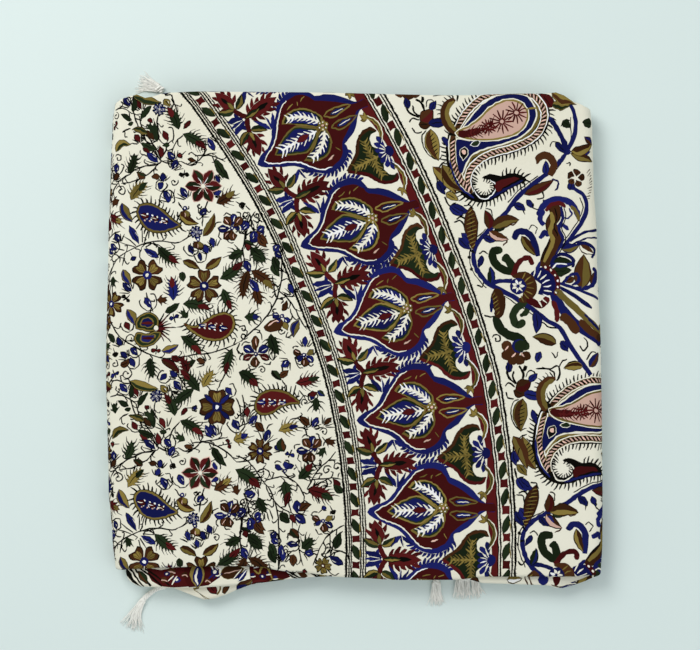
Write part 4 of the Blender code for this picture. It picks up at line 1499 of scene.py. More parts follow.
# centre, radius, petals, first petal's angle, dye, streak, heart
FIELD_FLOWERS = [
    ((147, 275), 16, 4, 45, "brown", "ochre", "blue"), ((204, 286), 17, 5, -90, "brown", "ochre", "blue"),
    ((217, 407), 18, 4, 0, "brown", "ochre", "blue"), ((110, 304), 13, 5, 20, "brown", "ochre", "blue"),
    ((260, 451), 12.5, 6, 30, "brown", "ochre", "blue"), ((156, 396), 6, 5, 0, "blue", "cream", None),
    ((323, 566), 8, 5, 10, "ochre", "brown", "brown"), ((196, 232), 6, 5, 0, "blue", "cream", None),
]
STAR_CENTRE = (203, 186)

# outline, dye, dye of the core
BOTEHS = [
    ([(181, 225.5), (173, 219), (166, 212.5), (158, 206.5), (148, 203), (139.5, 205), (136.5, 212),
      (139, 220), (145, 228), (153, 232), (162, 232.5), (171, 230)], "blue", "burgundy"),
    ([(300, 403), (292, 395), (282, 390.5), (271, 389.5), (261, 393), (256, 399.5), (254.5, 407),
      (258, 413.5), (266, 415), (274, 412.5), (281, 407.5), (290, 404.5)], "burgundy", "blue"),
    ([(184, 323.5), (193, 326), (200, 324), (207, 319), (215, 314.5), (224, 312.5), (232, 315.5),
      (235, 323), (232, 332), (225, 338.5), (215, 341), (204, 339), (195, 334), (188, 329)], "burgundy",
     "blue"),
]
# angle, length, width and dye of each petal
PINWHEEL = (
    (180, 14, 7, "blue"), (232, 13, 8, "brown"), (283, 14, 7, "blue"), (308, 14, 8, "brown"),
    (0, 5, 5, "blue"), (80, 12, 8, "brown"), (128, 13, 8, "brown"),
)
SPIDER = (
    (90, 11, 8, "brown"), (145, 8, 4, "blue"), (205, 11, 6, "brown"), (330, 10, 5, "ochre"),
    (40, 11, 6, "blue"),
)
ORCHID = (
    (270, 18, 7, "brown"), (207, 14, 8, "blue"), (333, 14, 8, "blue"), (155, 14, 6, "burgundy"),
    (25, 14, 6, "burgundy"), (90, 13, 9, "brown"),
)
BUTTERFLY = ((195, 9, 6, "blue"), (120, 8, 5, "blue"), (50, 9, 6, "blue"))
FAN = ((215, 11, 5, "blue"), (270, 9, 5, "blue"), (325, 10, 5, "blue"))
BELL = ((90, 10, 9, "brown"), (60, 9, 5, "ochre"), (120, 9, 5, "brown"))
# centre, petals
PETAL_ROUNDS = [
    ((232, 228), PINWHEEL), ((311, 450), PINWHEEL), ((304, 355), SPIDER), ((323, 521), SPIDER),
    ((256, 354), ORCHID), ((282, 316), BUTTERFLY), ((285, 471), FAN), ((198, 239), BELL),
    ((185, 208), BELL),
]
# A brown crescent under a blue flower
CRESCENT = [(264, 326), (270, 321), (277, 318.5), (283, 321), (282, 327), (277, 331), (270, 332), (265, 330)]
CRESCENT_LINE = [(268, 326), (275, 321), (279, 321)]

# The two lobes of a heart, and the bare places' small sprigs
HEART_LOBES = (
    [(158, 319), (151, 313), (142, 314.5), (136.5, 320), (136, 328), (142, 329.5), (150, 331.5), (157, 328)],
    [(137, 333), (134.5, 340), (140, 346), (149, 346), (157, 341), (161, 333), (154, 332), (146, 334)],
)
SPRIG_DYES = ("green", "blue", "green", "burgundy", "brown", "black")
BARE_REACH = 4
SPRIG_SPACE = 5
CHART_EDGE = 20
# Shares of a triangle's corners at which it is looked up in the drawing
LOOKUPS = ((1, 0, 0), (0, 1, 0), (0, 0, 1), (0.5, 0.5, 0), (0, 0.5, 0.5), (0.5, 0, 0.5), (0.34, 0.33, 0.33))


def inside_ring(place):
    """Whether a place of the drawing is in the field that the ring surrounds."""
    return math.dist(place, RING_CENTRE) < FIELD_RADIUS


def way_round(outline):
    """1 or -1, for the way in which a closed outline goes round."""
    after = np.roll(outline, -1, 0)
    return np.sign((outline[:, 0] * after[:, 1] - outline[:, 1] * after[:, 0]).sum())


def drawn_in(outline, by):
    """A closed outline drawn in, square to itself."""
    along = np.roll(outline, -1, 0) - np.roll(outline, 1, 0)
    along /= np.linalg.norm(along, axis=1, keepdims=True)
    return outline + np.stack([-along[:, 1], along[:, 0]], 1) * way_round(outline) * by


def boteh(ink, points, dye, core):
    """A small paisley: hairs round an ochre edge, with a light ring and a core."""
    outline = curve(points, 4, closed=True)
    side = -way_round(outline)
    hairs(ink, np.vstack([outline, outline[:1]]), 7.5, 3.9, "black", 2, width=1.7, lean=0.35, side=side)
    fill(ink, drawn_in(outline, -0.6), "black", 3)
    fill(ink, drawn_in(outline, 0.1), "ochre", 4)
    fill(ink, drawn_in(outline, 2.0), dye, 5)
    far = np.asarray(points[0], float)
    middle = outline.mean(0)
    line = curve([middle * 1.62 - far * 0.62, middle, middle * 0.45 + far * 0.55], 6)
    aside = side_of(line)
    for k in range(2, len(line) - 1, 2):
        for side in (1, -1):
            spot = line[k] + aside[k] * side * (2.6 - 0.1 * k)
            start, end = spot - aside[k] * 0.9, spot + (line[k] - line[k - 1]) * 0.7
            stroke(ink, [start, end], 1.6, "cream", 6, smooth_line=False)
        dot(ink, line[k] + aside[k] * 5.2 * (0.9 - 0.06 * k), 0.9, "pink", 6, sides=6)
    for k in range(0, len(line) - 2, 4):
        leaf(ink, line[k], line[k + 3], 5.0 - 0.2 * k, core, 7, edge="black", fat=0.5)
        stroke(ink, [line[k], line[k + 2]], 0.9, "cream", 9, smooth_line=False)


def petal_round(ink, centre, petals):
    """Petals of their own sizes and dyes round one place, with hooks, and the wider with a light streak."""
    centre = np.asarray(centre, float)
    for k, (angle, length, width, dye) in enumerate(petals):
        tip = centre + turned([(length, 0)], angle)[0]
        base = centre + turned([(1.8, 0)], angle)[0]
        leaf(ink, base, tip, width, dye, 3 + k % 2, bend=1.0 if k % 2 else -1.0, fat=0.62)
        if width > 5:
            streak = [base * 0.6 + tip * 0.4, base * 0.15 + tip * 0.85]
            stroke(ink, streak, 0.9, "pink" if dye != "blue" else "cream", 7)
        hook = [(length * 0.75, width * 0.9), (length * 1.15, width * 0.65), (length * 1.2, width * 0.1)]
        stroke(ink, turned(hook, angle) + centre, 1.2, "black", 2)
    dot(ink, centre, 2.3, "blue", 8, sides=8)
    dot(ink, centre, 0.9, "cream", 9, sides=6)


def heart_flower(ink, shift):
    """Two dark lobes with light contour lines, and spikes fanning out beside them."""
    root = np.array([156.0, 328.0]) + shift
    for k in range(9):
        end = root + turned([(13 + 3 * math.sin(2 * k), 0)], -62 + 15 * k)[0]
        stroke(ink, [root, end], 2.4, "burgundy" if k % 3 else "black", 3, thin=(0.6, 0.3), smooth_line=False)
        stroke(ink, [root * 0.2 + end * 0.8, end * 1.3 - root * 0.3], 1.2, "black", 2, smooth_line=False)
    for lobe in HEART_LOBES:
        outline = curve(lobe + shift, 4, closed=True)
        fill(ink, drawn_in(outline, -0.7), "black", 4)
        fill(ink, outline, "ochre", 5)
        fill(ink, drawn_in(outline, 1.3), "green", 6)
        middle = outline.mean(0)
        fill(ink, middle + (outline - middle) * 0.6, "ochre", 7)
        fill(ink, middle + (outline - middle) * 0.48, "blue", 8)
        stroke(ink, [middle - (5, 0), middle + (7, 0)], 2.6, "burgundy", 9)
    dot(ink, root, 2.2, "cream", 9)


def vine_hooks(ink, line):
    """Small hooks along a vine, to either side in turn."""
    run = run_length(line)
    for k, at in enumerate(np.arange(7, run[-1] - 3, HOOK_PITCH)):
        root = np.array([np.interp(at, run, line[:, i]) for i in (0, 1)])
        ahead = np.array([np.interp(at + 1, run, line[:, i]) for i in (0, 1)])
        way = ahead - root
        side = np.array([-way[1], way[0]]) * (1 if k % 2 else -1)
        hook = [root, root + way * 3 + side * 2.4, root + way * 4.4 + side * 5, root + way * 2.4 + side * 6.4]
        stroke(ink, hook, 1.1, "black", 1, thin=(0.8, 0.6), steps=3)


def sprig(ink, spot, angle, kind):
    """A small sprig for a bare place: a comb leaf, a bud, a curl or a pair of leaves."""
    dye = SPRIG_DYES[kind % len(SPRIG_DYES)]
    base, tip, aside, across = turned([(-5, 0), (4.5, 0), (1.5, 4.5), (0.5, -4.5)], angle) + spot
    if kind % 4 == 0:
        comb_leaf(ink, base, tip, 4.6, dye, None, length=4.0)
    elif kind % 4 == 1:
        bud(ink, base * 0.4 + tip * 0.6, tip, dye, 4.0)
        stroke(ink, [base, tip], 1.1, "black", 1, smooth_line=False)
    elif kind % 4 == 2:
        curl(ink, spot, 4.2, angle, 1.0, width=1.2)
    else:
        stroke(ink, [base, spot, tip], 1.1, "black", 1)
        for end in (aside, across):
            leaf(ink, spot, end, 3.2, dye, 2, fat=0.6)


def fill_bare_places(ink, x_range, y_range, allowed):
    """Sprigs wherever the drawing is still bare."""
    corner = np.array([x_range[0] - CHART_EDGE, y_range[0] - CHART_EDGE])
    size = [end - start + 2 * CHART_EDGE + 1 for start, end in (x_range, y_range)]
    drawn = np.zeros(size, bool)
    triangles = np.concatenate([shape for shape, _, _ in ink if len(shape)])
    for share in LOOKUPS:
        cells = (np.tensordot(triangles, share, (1, 0)) - corner).astype(int)
        cells = cells[((cells > 0) & (cells < drawn.shape)).all(1)]
        drawn[cells[:, 0], cells[:, 1]] = True
    choice = np.random.default_rng(21)
    kind = 0
    for x in range(x_range[0], x_range[1], 2):
        for y in range(y_range[0], y_range[1], 2):
            i, j = (np.array([x, y]) - corner).astype(int)
            near = drawn[i - BARE_REACH:i + BARE_REACH + 1, j - BARE_REACH:j + BARE_REACH + 1]
            if near.any() or not allowed((x, y)):
                continue
            sprig(ink, np.array([x, y], float), choice.uniform(0, 360), kind)
            drawn[i - SPRIG_SPACE:i + SPRIG_SPACE + 1, j - SPRIG_SPACE:j + SPRIG_SPACE + 1] = True
            kind += 1
    print("sprigs", kind)


def field():
    """All the motifs of the field, where they fall inside the ring, in every repeat of it."""
    ink = []
    for times in (-1, 0, 1):
        shift = np.array(FIELD_REPEAT) * times
        for vine in FIELD_VINES:
            line = [spot for spot in curve(vine, 3) + shift if inside_ring(spot)]
            if len(line) > 1:
                stroke(ink, line, 1.35, "black", 1, thin=(0.7, 0.4), smooth_line=False)
                vine_hooks(ink, np.array(line))
        for centre, radius, start, turns in FIELD_CURLS:
            if inside_ring(centre + shift):
                curl(ink, centre + shift, radius, start, turns, width=1.3)
        for base, tip, width, dye, tip_dye, bend in COMB_LEAVES:
            if inside_ring(tip + shift) and inside_ring(base + shift):
                width *= COMB_WIDTH
                comb_leaf(ink, base + shift, tip + shift, width, dye, tip_dye, bend, length=COMB_LENGTH)
        for base, tip, width, dye, half_dye, bend in LEAVES:
            if inside_ring(tip + shift):
                leaf(ink, base + shift, tip + shift, width, dye, 2, bend, half_dye=half_dye)
        for base, tip, width, dye in BUDS:
            if inside_ring(tip + shift):
                bud(ink, base + shift, tip + shift, dye, width)
        for centre, radius, petals, turn, dye, streak, heart in FIELD_FLOWERS:
            if inside_ring(centre + shift + (radius * 0.6, 0)):
                flower(ink, centre + shift, radius, petals, turn, dye, heart, streak, level=3)
                for k in range(petals if turn == 0 and petals == 4 else 0):
                    between = turned([(3, 0), (radius * 0.98, 0)], turn + 360 * (k + 0.5) / petals)
                    leaf(ink, *(between + centre + shift), 4.2, "blue", 7, fat=0.6)
        for points, dye, core in BOTEHS:
            if inside_ring(points[0] + shift):
                boteh(ink, points + shift, dye, core)
        for centre, petals in PETAL_ROUNDS:
            if inside_ring(centre + shift + (8, 0)):
                petal_round(ink, centre + shift, petals)
        if inside_ring(STAR_CENTRE + shift):
            star(ink, STAR_CENTRE + shift, 18, 6, 0, "burgundy", "green", level=3)
        heart_flower(ink, shift)
        if inside_ring(CRESCENT[0] + shift):
            blob(ink, CRESCENT + shift, "brown", 3, steps=3)
            stroke(ink, CRESCENT_LINE + shift, 1.2, "pink", 5)
    fill_bare_places(ink, (104, 348), (86, 584), lambda spot: inside_ring((spot[0] + 6, spot[1])))
    return ink


# The field outside the ring: hooked paisleys and a large palmette on a blue vine, turned on round the ring

OUTER_TURN = 18.4
STRAIGHTER = -4.0
ROPE_PITCH = 2.0
VEIN_PITCH = 3.6
# From this width on, the blunt ends of a stroke are rounded off
ROUNDED_WIDTH = 5

# path, width, dye, level, how thin the ends are
OUTER_STROKES = [
    # the blue vine, double
    ([(541, 178), (523, 192), (512, 204), (505, 214), (489, 230), (479, 241), (474, 252), (474, 262),
      (479, 273), (489, 284), (505, 292), (520, 301), (535, 311), (548, 321), (560, 328), (570, 345),
      (580, 360), (591, 375)], 4.6, "blue", 3, (1, 1)),
    ([(538, 176), (520, 189), (508, 202)], 1.0, "black", 2, (1, 1)),
    ([(486, 229), (475, 240), (470, 252), (470, 263), (475, 275), (486, 288)], 1.0, "black", 2, (1, 1)),
    ([(503, 295), (518, 305), (533, 315), (545, 324)], 1.0, "black", 2, (1, 1)),
    ([(541, 178), (552, 170), (560, 161), (567, 151), (573, 140), (576, 125), (574, 112), (569, 103)], 4.2,
     "blue", 3, (1, 1)),
    ([(551, 119), (559, 131), (565, 143), (568, 152)], 5.0, "blue", 3, (0.8, 1)),
    ([(555, 172), (561, 163), (564, 153)], 0.9, "black", 2, (1, 1)),
    ([(572, 146), (571, 132), (571, 118)], 0.9, "black", 2, (1, 1)),
    ([(489, 284), (500, 281), (512, 281)], 4.2, "blue", 3, (1, 1)),
    ([(562, 249), (573, 235), (583, 220), (587, 206), (583, 194), (572, 188)], 4.0, "blue", 3, (1, 1)),
    ([(559, 247), (570, 233), (579, 219), (583, 207), (580, 197)], 1.0, "black", 2, (1, 1)),
    ([(570, 241), (585, 232), (601, 230)], 2.6, "blue", 3, (1, 1)),
    ([(573, 244), (588, 238), (602, 238)], 1.6, "blue", 3, (1, 1)),
    # green and burgundy scrolls by the vine
    ([(499, 250), (493, 252), (494, 261), (502, 269), (516, 273)], 8.0, "green", 3, (0.8, 0.5)),
    ([(503, 256), (508, 260), (514, 269)], 8.0, "green", 3, (0.5, 0.5)),
    ([(514, 274), (517, 265), (523, 259), (529, 258), (532, 263)], 5.0, "burgundy", 4, (1, 0.8)),
    ([(527, 299), (534, 303), (541, 305), (546, 300)], 7.0, "burgundy", 4, (0.6, 0.9)),
    ([(526, 302), (517, 308), (513, 317), (517, 325), (522, 323)], 7.5, "green", 3, (0.6, 0.9)),
    ([(526, 302), (527, 311), (522, 315)], 5.0, "green", 3, (0.8, 0.8)),
    ([(494, 289), (500, 297), (501, 307), (497, 318)], 9.0, "brown", 3, (0.3, 0.5)),
    ([(495, 316), (500, 328), (509, 335), (519, 338), (525, 346)], 9.0, "green", 3, (0.5, 0.9)),
    ([(492, 298), (491, 312)], 4.0, "blue", 4, (0.4, 0.4)),
    ([(484, 315), (490, 317), (497, 316)], 1.4, "black", 3, (0.5, 1)),
    # the comma leaves
    ([(515, 237), (518, 232), (526, 232), (533, 239), (538, 256)], 6.5, "blue", 3, (0.8, 0.6)),
    ([(550, 175), (554, 166), (551, 158), (545, 155), (539, 158), (537, 164)], 7.5, "brown", 3, (0.7, 0.1)),
    ([(552, 179), (558, 181), (558, 187), (555, 191)], 2.0, "blue", 4, (1, 0.3)),
    # the palmette, from its arch down to its tail
    ([(539, 213), (545, 204), (556, 199), (568, 201), (576, 210), (579, 221)], 6.0, "blue", 4, (0.8, 0.3)),
    ([(546, 211), (551, 205), (559, 203), (566, 206)], 4.0, "burgundy", 5, (0.7, 0.5)),
    ([(571, 206), (577, 213), (579, 221)], 3.6, "ochre", 5, (0.6, 0.3)),
    ([(563, 209), (562, 215), (567, 218), (572, 214), (569, 208)], 1.6, "blue", 5, (0.6, 0.6)),
    ([(543, 212), (540, 219), (544, 225)], 5.0, "blue", 5, (0.8, 0.6)),
    ([(553, 204), (556, 214), (551, 224), (556, 236), (552, 248), (543, 267)], 12.0, "black", 4,
     (0.6, 0.6)),
    ([(553, 204), (556, 214), (551, 224), (556, 236), (552, 248), (543, 267)], 10.4, "brown", 5,
     (0.6, 0.6)),
    ([(551, 212), (553, 222), (550, 232), (553, 242), (544, 262)], 4.2, "ochre", 6, (0.6, 0.6)),
    ([(555, 208), (557, 218), (554, 226), (558, 236)], 1.2, "black", 7, (0.6, 0.6)),
    ([(550, 240), (546, 250), (542, 260)], 1.2, "black", 7, (0.6, 0.6)),
    ([(561, 206), (563, 218), (559, 228), (563, 240), (556, 254)], 3.0, "blue", 6, (0.6, 0.6)),
    ([(564, 206), (566, 218), (562, 228), (566, 240), (558, 256)], 1.0, "black", 6, (0.6, 0.6)),
    ([(541, 237), (545, 232), (549, 236)], 5.0, "blue", 5, (0.8, 0.5)),
    ([(557, 228), (563, 225), (569, 230)], 4.0, "blue", 5, (0.6, 0.3)),
    ([(541, 262), (537, 270), (540, 278)], 3.5, "blue", 4, (0.6, 0.6)),
    ([(551, 268), (554, 258), (563, 254), (573, 259), (573, 267)], 3.4, "blue", 5, (0.8, 0.8)),
    ([(577, 244), (586, 243), (596, 250), (592, 258)], 3.4, "blue", 5, (0.5, 0.8)),
    ([(562, 285), (569, 276), (577, 274), (579, 281), (572, 285)], 2.8, "blue", 5, (0.6, 0.6)),
    ([(572, 288), (587, 288), (597, 281), (598, 272), (593, 268)], 4.0, "blue", 5, (0.5, 0.6)),
    ([(559, 283), (575, 288), (601, 299)], 3.0, "blue", 5, (0.6, 1)),
    ([(560, 287), (575, 296), (592, 308)], 4.0, "blue", 5, (0.6, 0.4)),
    ([(552, 292), (562, 308), (577, 325), (601, 341)], 9.0, "blue", 4, (0.6, 1)),
    ([(556, 290), (569, 302), (583, 315), (602, 333)], 6.5, "ochre", 6, (0.6, 1)),
    ([(561, 315), (570, 322), (578, 333)], 9.0, "brown", 6, (0.5, 0.5)),
    ([(580, 320), (590, 331), (601, 338)], 7.0, "brown", 7, (0.5, 1)),
    ([(553, 301), (557, 312), (557, 322)], 5.0, "burgundy", 6, (0.5, 0.4)),
    ([(543, 322), (549, 327), (560, 328)], 1.4, "black", 3, (0.4, 1)),
    ([(585, 314), (592, 322), (601, 330)], 2.4, "blue", 8, (0.6, 1)),
    # the ochre crescent over the paisley's neck
    ([(455, 99), (447, 105), (444, 114), (447, 124), (456, 133)], 7.5, "brown", 5, (0.4, 0.5)),
    ([(454, 101), (449, 106), (447, 114), (450, 123), (456, 131)], 4.4, "ochre", 6, (0.4, 0.5)),
    ([(454, 99), (451, 94), (443, 93), (433, 96)], 1.6, "black", 4, (0.8, 0.5)),
    # small hooks
    ([(464, 206), (469, 205), (474, 209)], 1.3, "black", 3, (1, 0.3)),
    ([(454, 222), (461, 221), (465, 228)], 1.5, "black", 3, (0.7, 0.6)),
    ([(485, 209), (490, 209), (493, 216)], 1.2, "black", 3, (0.5, 0.5)),
    ([(508, 223), (513, 225), (518, 220)], 1.4, "brown", 4, (0.5, 0.5)),
    ([(506, 237), (507, 241), (503, 246)], 1.3, "brown", 4, (1, 0.3)),
    ([(529, 229), (532, 225), (537, 228), (535, 234)], 1.2, "black", 3, (0.6, 0.6)),
    ([(537, 199), (543, 198), (543, 193), (540, 190)], 1.4, "black", 3, (0.6, 0.6)),
    ([(523, 208), (525, 215)], 1.3, "black", 3, (1, 0.3)),
    ([(531, 206), (534, 208), (540, 210)], 1.3, "black", 3, (1, 0.5)),
    ([(479, 254), (483, 251), (488, 254)], 1.3, "black", 3, (1, 0.3)),
    ([(477, 285), (482, 287), (484, 281)], 1.5, "black", 3, (0.9, 0.5)),
    ([(550, 147), (552, 142), (561, 142)], 1.1, "black", 3, (0.5, 0.5)),
    ([(561, 125), (564, 120), (570, 121)], 1.2, "black", 3, (0.5, 0.5)),
    ([(566, 163), (570, 163), (570, 167)], 1.2, "black", 3, (0.5, 0.5)),
    ([(580, 346), (584, 351), (588, 344), (584, 337)], 1.4, "black", 3, (0.9, 0.4)),
    ([(552, 352), (556, 358), (558, 352)], 1.4, "black", 3, (0.5, 0.9)),
    ([(587, 360), (592, 352), (599, 354)], 1.3, "black", 3, (1, 0.5)),
    ([(542, 368), (550, 369), (558, 366), (560, 374), (557, 381)], 1.7, "black", 3, (1, 0.6)),
    ([(559, 368), (562, 362), (567, 359)], 1.5, "black", 3, (1, 0.8)),
    ([(565, 370), (570, 362), (580, 362)], 1.2, "black", 3, (0.5, 0.5)),
    ([(567, 264), (557, 264), (553, 268)], 1.4, "cream", 8, (0.6, 0.6)),
]
# base, tip, width, dye, dye of one half, bend
OUTER_LEAVES = [
    ((450, 206), (463, 215), 6.5, "blue", None, 1), ((459, 238), (471, 249), 7, "blue", None, 1),
    ((556, 143), (567, 151), 7, "blue", None, 0), ((546, 175), (546, 161), 6, "blue", None, 0),
    ((525, 194), (554, 180), 9, "brown", "burgundy", 1), ((514, 205), (525, 210), 7, "blue", None, -1),
    ((489, 229), (485, 211), 9, "brown", "burgundy", 2), ((492, 228), (519, 220), 12, "brown", "ochre", -3),
    ((495, 230), (508, 223), 7, "green", None, 0), ((489, 231), (508, 239), 9, "brown", "pink", 2),
    ((484, 236), (495, 241), 6, "blue", None, 1), ((522, 236), (536, 255), 8, "brown", "ochre", 1),
    ((491, 284), (490, 267), 7, "green", "blue", 1), ((482, 256), (479, 267), 5, "blue", None, 0),
    ((535, 311), (536, 333), 9, "blue", None, -2), ((556, 344), (533, 337), 11, "brown", "ochre", 2),
    ((540, 352), (537, 362), 6, "blue", None, 0), ((561, 341), (568, 351), 7, "blue", None, 0),
    ((583, 366), (564, 368), 8, "ochre", "brown", 1), ((590, 367), (599, 353), 8, "blue", "brown", 0),
    ((562, 249), (579, 245), 9, "blue", "ochre", 1), ((580, 245), (594, 253), 8, "brown", "cream", 1),
    ((552, 263), (573, 263), 11, "green", "blue", 0), ((551, 272), (571, 270), 10, "green", None, 0),
    ((582, 288), (584, 255), 17, "brown", "ochre", 0), ((565, 281), (575, 278), 6, "brown", None, 0),
    ((592, 284), (596, 272), 6, "brown", "blue", 0), ((563, 119), (570, 128), 6, "green", None, 0),
    ((571, 152), (594, 144), 10, "brown", "ochre", 2), ((578, 154), (591, 152), 5, "blue", None, 0),
    ((571, 154), (594, 162), 8, "brown", "ochre", -1), ((570, 190), (573, 182), 7, "blue", None, 0),
    ((594, 124), (583, 122), 9, "green", None, 0), ((594, 144), (585, 137), 6, "brown", "blue", 0),
    ((552, 107), (541, 93), 12, "burgundy", None, 0), ((552, 92), (576, 104), 10, "ochre", "brown", 1),
    ((552, 104), (570, 106), 8, "ochre", "green", 0), ((546, 205), (544, 200), 4, "blue", None, 0),
    ((433, 167), (456, 194), 12, "brown", "ochre", -2), ((438, 181), (445, 194), 6, "blue", None, 1),
    ((446, 193), (458, 200), 7, "ochre", None, 0),
]
# The same, charted where the second turn of the pattern shows them best
LOWER_LEAVES = [
    ((523, 399), (521, 431), 14, "ochre", "brown", 2), ((523, 437), (536, 469), 14, "ochre", "brown", 3),
    ((521, 446), (519, 461), 6, "blue", None, 2), ((523, 393), (542, 398), 9, "blue", None, 0),
    ((529, 381), (537, 374), 6, "blue", None, 0), ((532, 410), (537, 424), 5, "blue", None, 0),
    ((509, 372), (509, 361), 6, "blue", None, 0), ((516, 388), (531, 381), 13, "brown", "burgundy", 1),
    ((514, 391), (525, 395), 9, "brown", None, 0), ((519, 478), (533, 490), 8, "blue", None, 1),
    ((520, 508), (531, 523), 7, "blue", None, 1), ((592, 497), (596, 506), 5, "blue", None, 0),
    ((548, 516), (554, 523), 5, "blue", None, 0),
]
LOWER_STROKES = [
    ([(508, 364), (508, 376), (516, 384)], 2.2, "black", 3, (0.8, 1)),
    ([(514, 371), (513, 378), (518, 384)], 1.6, "black", 3, (0.8, 1)),
    ([(519, 366), (523, 372), (523, 380)], 2.4, "black", 3, (0.8, 1)),
    ([(524, 371), (526, 366)], 3.0, "black", 3, (0.8, 1)),
    ([(526, 377), (529, 371), (534, 372), (537, 378)], 1.2, "black", 3, (0.5, 0.5)),
    ([(505, 386), (509, 383), (515, 387)], 1.5, "black", 3, (0.8, 0.8)),
    ([(506, 392), (508, 398), (514, 399)], 1.5, "black", 3, (0.9, 0.6)),
    ([(519, 399), (513, 403), (511, 414), (514, 424), (520, 430), (527, 428)], 1.2, "black", 3, (0.6, 0.4)),
    ([(527, 434), (521, 437), (515, 444), (513, 452), (518, 462)], 1.4, "black", 3, (0.5, 0.5)),
    ([(519, 493), (525, 492), (530, 499)], 1.7, "black", 3, (0.9, 0.6)),
    ([(515, 468), (517, 478), (524, 477)], 1.8, "black", 3, (1, 0.3)),
    ([(520, 541), (524, 541)], 2.0, "black", 3, (1, 0.5)),
    ([(523, 527), (526, 531)], 2.2, "black", 3, (1, 0.5)),
]
OUTER_BUDS = [
    ((468, 256), (471, 259), 3, "black"), ((470, 269), (473, 269), 3, "black"),
    ((532, 204), (534, 206), 3, "black"),
]
# base, tip, width, dye, dye of the veins
VEINED_LEAVES = [
    ((470, 207), (473, 250), 13, "brown", "ochre"), ((493, 291), (499, 316), 8, "brown", "ochre"),
]
LOWER_VEINED_LEAVES = [
    ((522, 402), (521, 428), 9, None, "black"), ((527, 440), (535, 464), 10, None, "black"),
]

PAISLEY_EDGE = [
    (448, 135), (452, 126), (459, 115), (467, 105), (477, 97), (489, 91), (505, 88), (522, 88), (536, 92),
    (546, 101), (550, 113), (548, 127), (541, 138), (530, 146), (516, 152), (502, 156), (489, 160),
    (479, 165), (474, 172), (472, 180), (474, 188), (480, 194), (487, 195), (493, 190), (493, 184),
    (489, 180), (482, 178), (490, 174), (501, 176), (512, 173), (521, 175), (527, 180), (518, 185),
    (508, 190), (498, 197), (487, 202), (476, 202), (465, 197), (456, 188), (450, 177), (447, 163),
    (446, 148),
]
PAISLEY_BLUE = [
    (463, 129), (470, 119), (479, 108), (489, 100), (501, 95), (515, 93.5), (527, 97), (534, 106),
    (536, 116), (531, 127), (521, 136), (507, 142), (492, 146), (480, 150), (471, 155), (466, 163),
    (461, 174), (457, 162), (456, 146), (458, 139), (470, 141), (466, 135),
]
PAISLEY_HEART = [
    (457, 133), (469, 127), (480, 119), (490, 109), (500, 103), (510, 100.5), (520, 103), (526.5, 110),
    (527, 119), (522, 128), (512, 134.5), (498, 138), (482, 139), (468, 138),
]
PAISLEY_ROPES = [
    [(457, 128), (464, 116), (472, 106), (482, 98), (494, 92.5), (508, 90.5), (522, 91), (534, 96),
     (542, 105), (544.5, 115), (542, 126), (535, 136), (524, 143), (510, 148.5), (496, 152), (484, 157),
     (475, 164), (469, 173), (468, 184), (472, 193)],
    [(453, 136), (452.5, 148), (453.5, 162), (458, 174), (464, 184), (472, 193)],
]
PAISLEY_TAIL = [
    (496, 182), (505, 179), (514, 177), (519, 179), (511, 183), (503, 188), (498, 192), (495, 188),
]
PAISLEY_SPINE = [(466, 134), (480, 131), (494, 124), (506, 117), (519, 112)]
# path, width, dye, level
PAISLEY_LINES = (
    ([(489, 199), (499, 193), (510, 187), (523, 180)], 2.4, "blue", 7),
    ([(474, 190), (480, 198), (488, 198), (495, 191), (495, 184), (490, 180)], 1.2, "cream", 5),
    ([(450, 160), (454, 176), (462, 189), (474, 198)], 2.0, "blue", 5),
)
# centre and radius of each rosette in the heart
ROSETTES = (((488, 127), 8.5), ((502, 121.5), 12.5), ((516.5, 112.5), 11.5))
SCALLOP = [
    (512, 277), (519, 272), (529, 273), (536, 281), (537, 291), (532, 299), (524, 303), (518, 300),
    (523, 294), (520, 280),
]
CUP = [
    (530, 275), (538, 268), (547, 267), (555, 274), (558, 284), (556, 293), (549, 295), (538, 294),
    (541, 284),
]
# centre and radius of each scallop of the bloom
BLOOM = (
    ((507, 346), 5.5), ((506, 355), 5), ((513, 359), 6), ((520, 360), 5), ((526, 356), 5), ((514, 351), 7),
)


def turned_on(times):
    """From the drawing to the same place some turns of the pattern round the ring."""
    centre = np.array(RING_CENTRE)
    return lambda points: turned(np.asarray(points, float) - centre, OUTER_TURN * times) + centre


def rope(ink, path, width):
    """A twisted border: slanting dashes on brown, edged with ochre and cream."""
    line = curve(path, 4)
    stroke(ink, line, width + 3.0, "cream", 5, thin=(0.8, 0.6), smooth_line=False)
    stroke(ink, line, width + 0.8, "ochre", 6, thin=(0.8, 0.6), smooth_line=False)
    stroke(ink, line, width - 0.6, "brown", 7, thin=(0.8, 0.6), smooth_line=False)
    run = run_length(line)
    out = side_of(line)
    for k in range(2, int(run[-1] / ROPE_PITCH)):
        at = k * ROPE_PITCH
        spot, side = (np.array([np.interp(at, run, column) for column in grid.T]) for grid in (line, out))
        slant = side * width * 0.42 + np.array([side[1], -side[0]]) * width * 0.34
        dash, dye = (1.6, "pink") if k % 2 else (1.5, "black")
        stroke(ink, [spot - slant, spot + slant], dash, dye, 8, smooth_line=False)


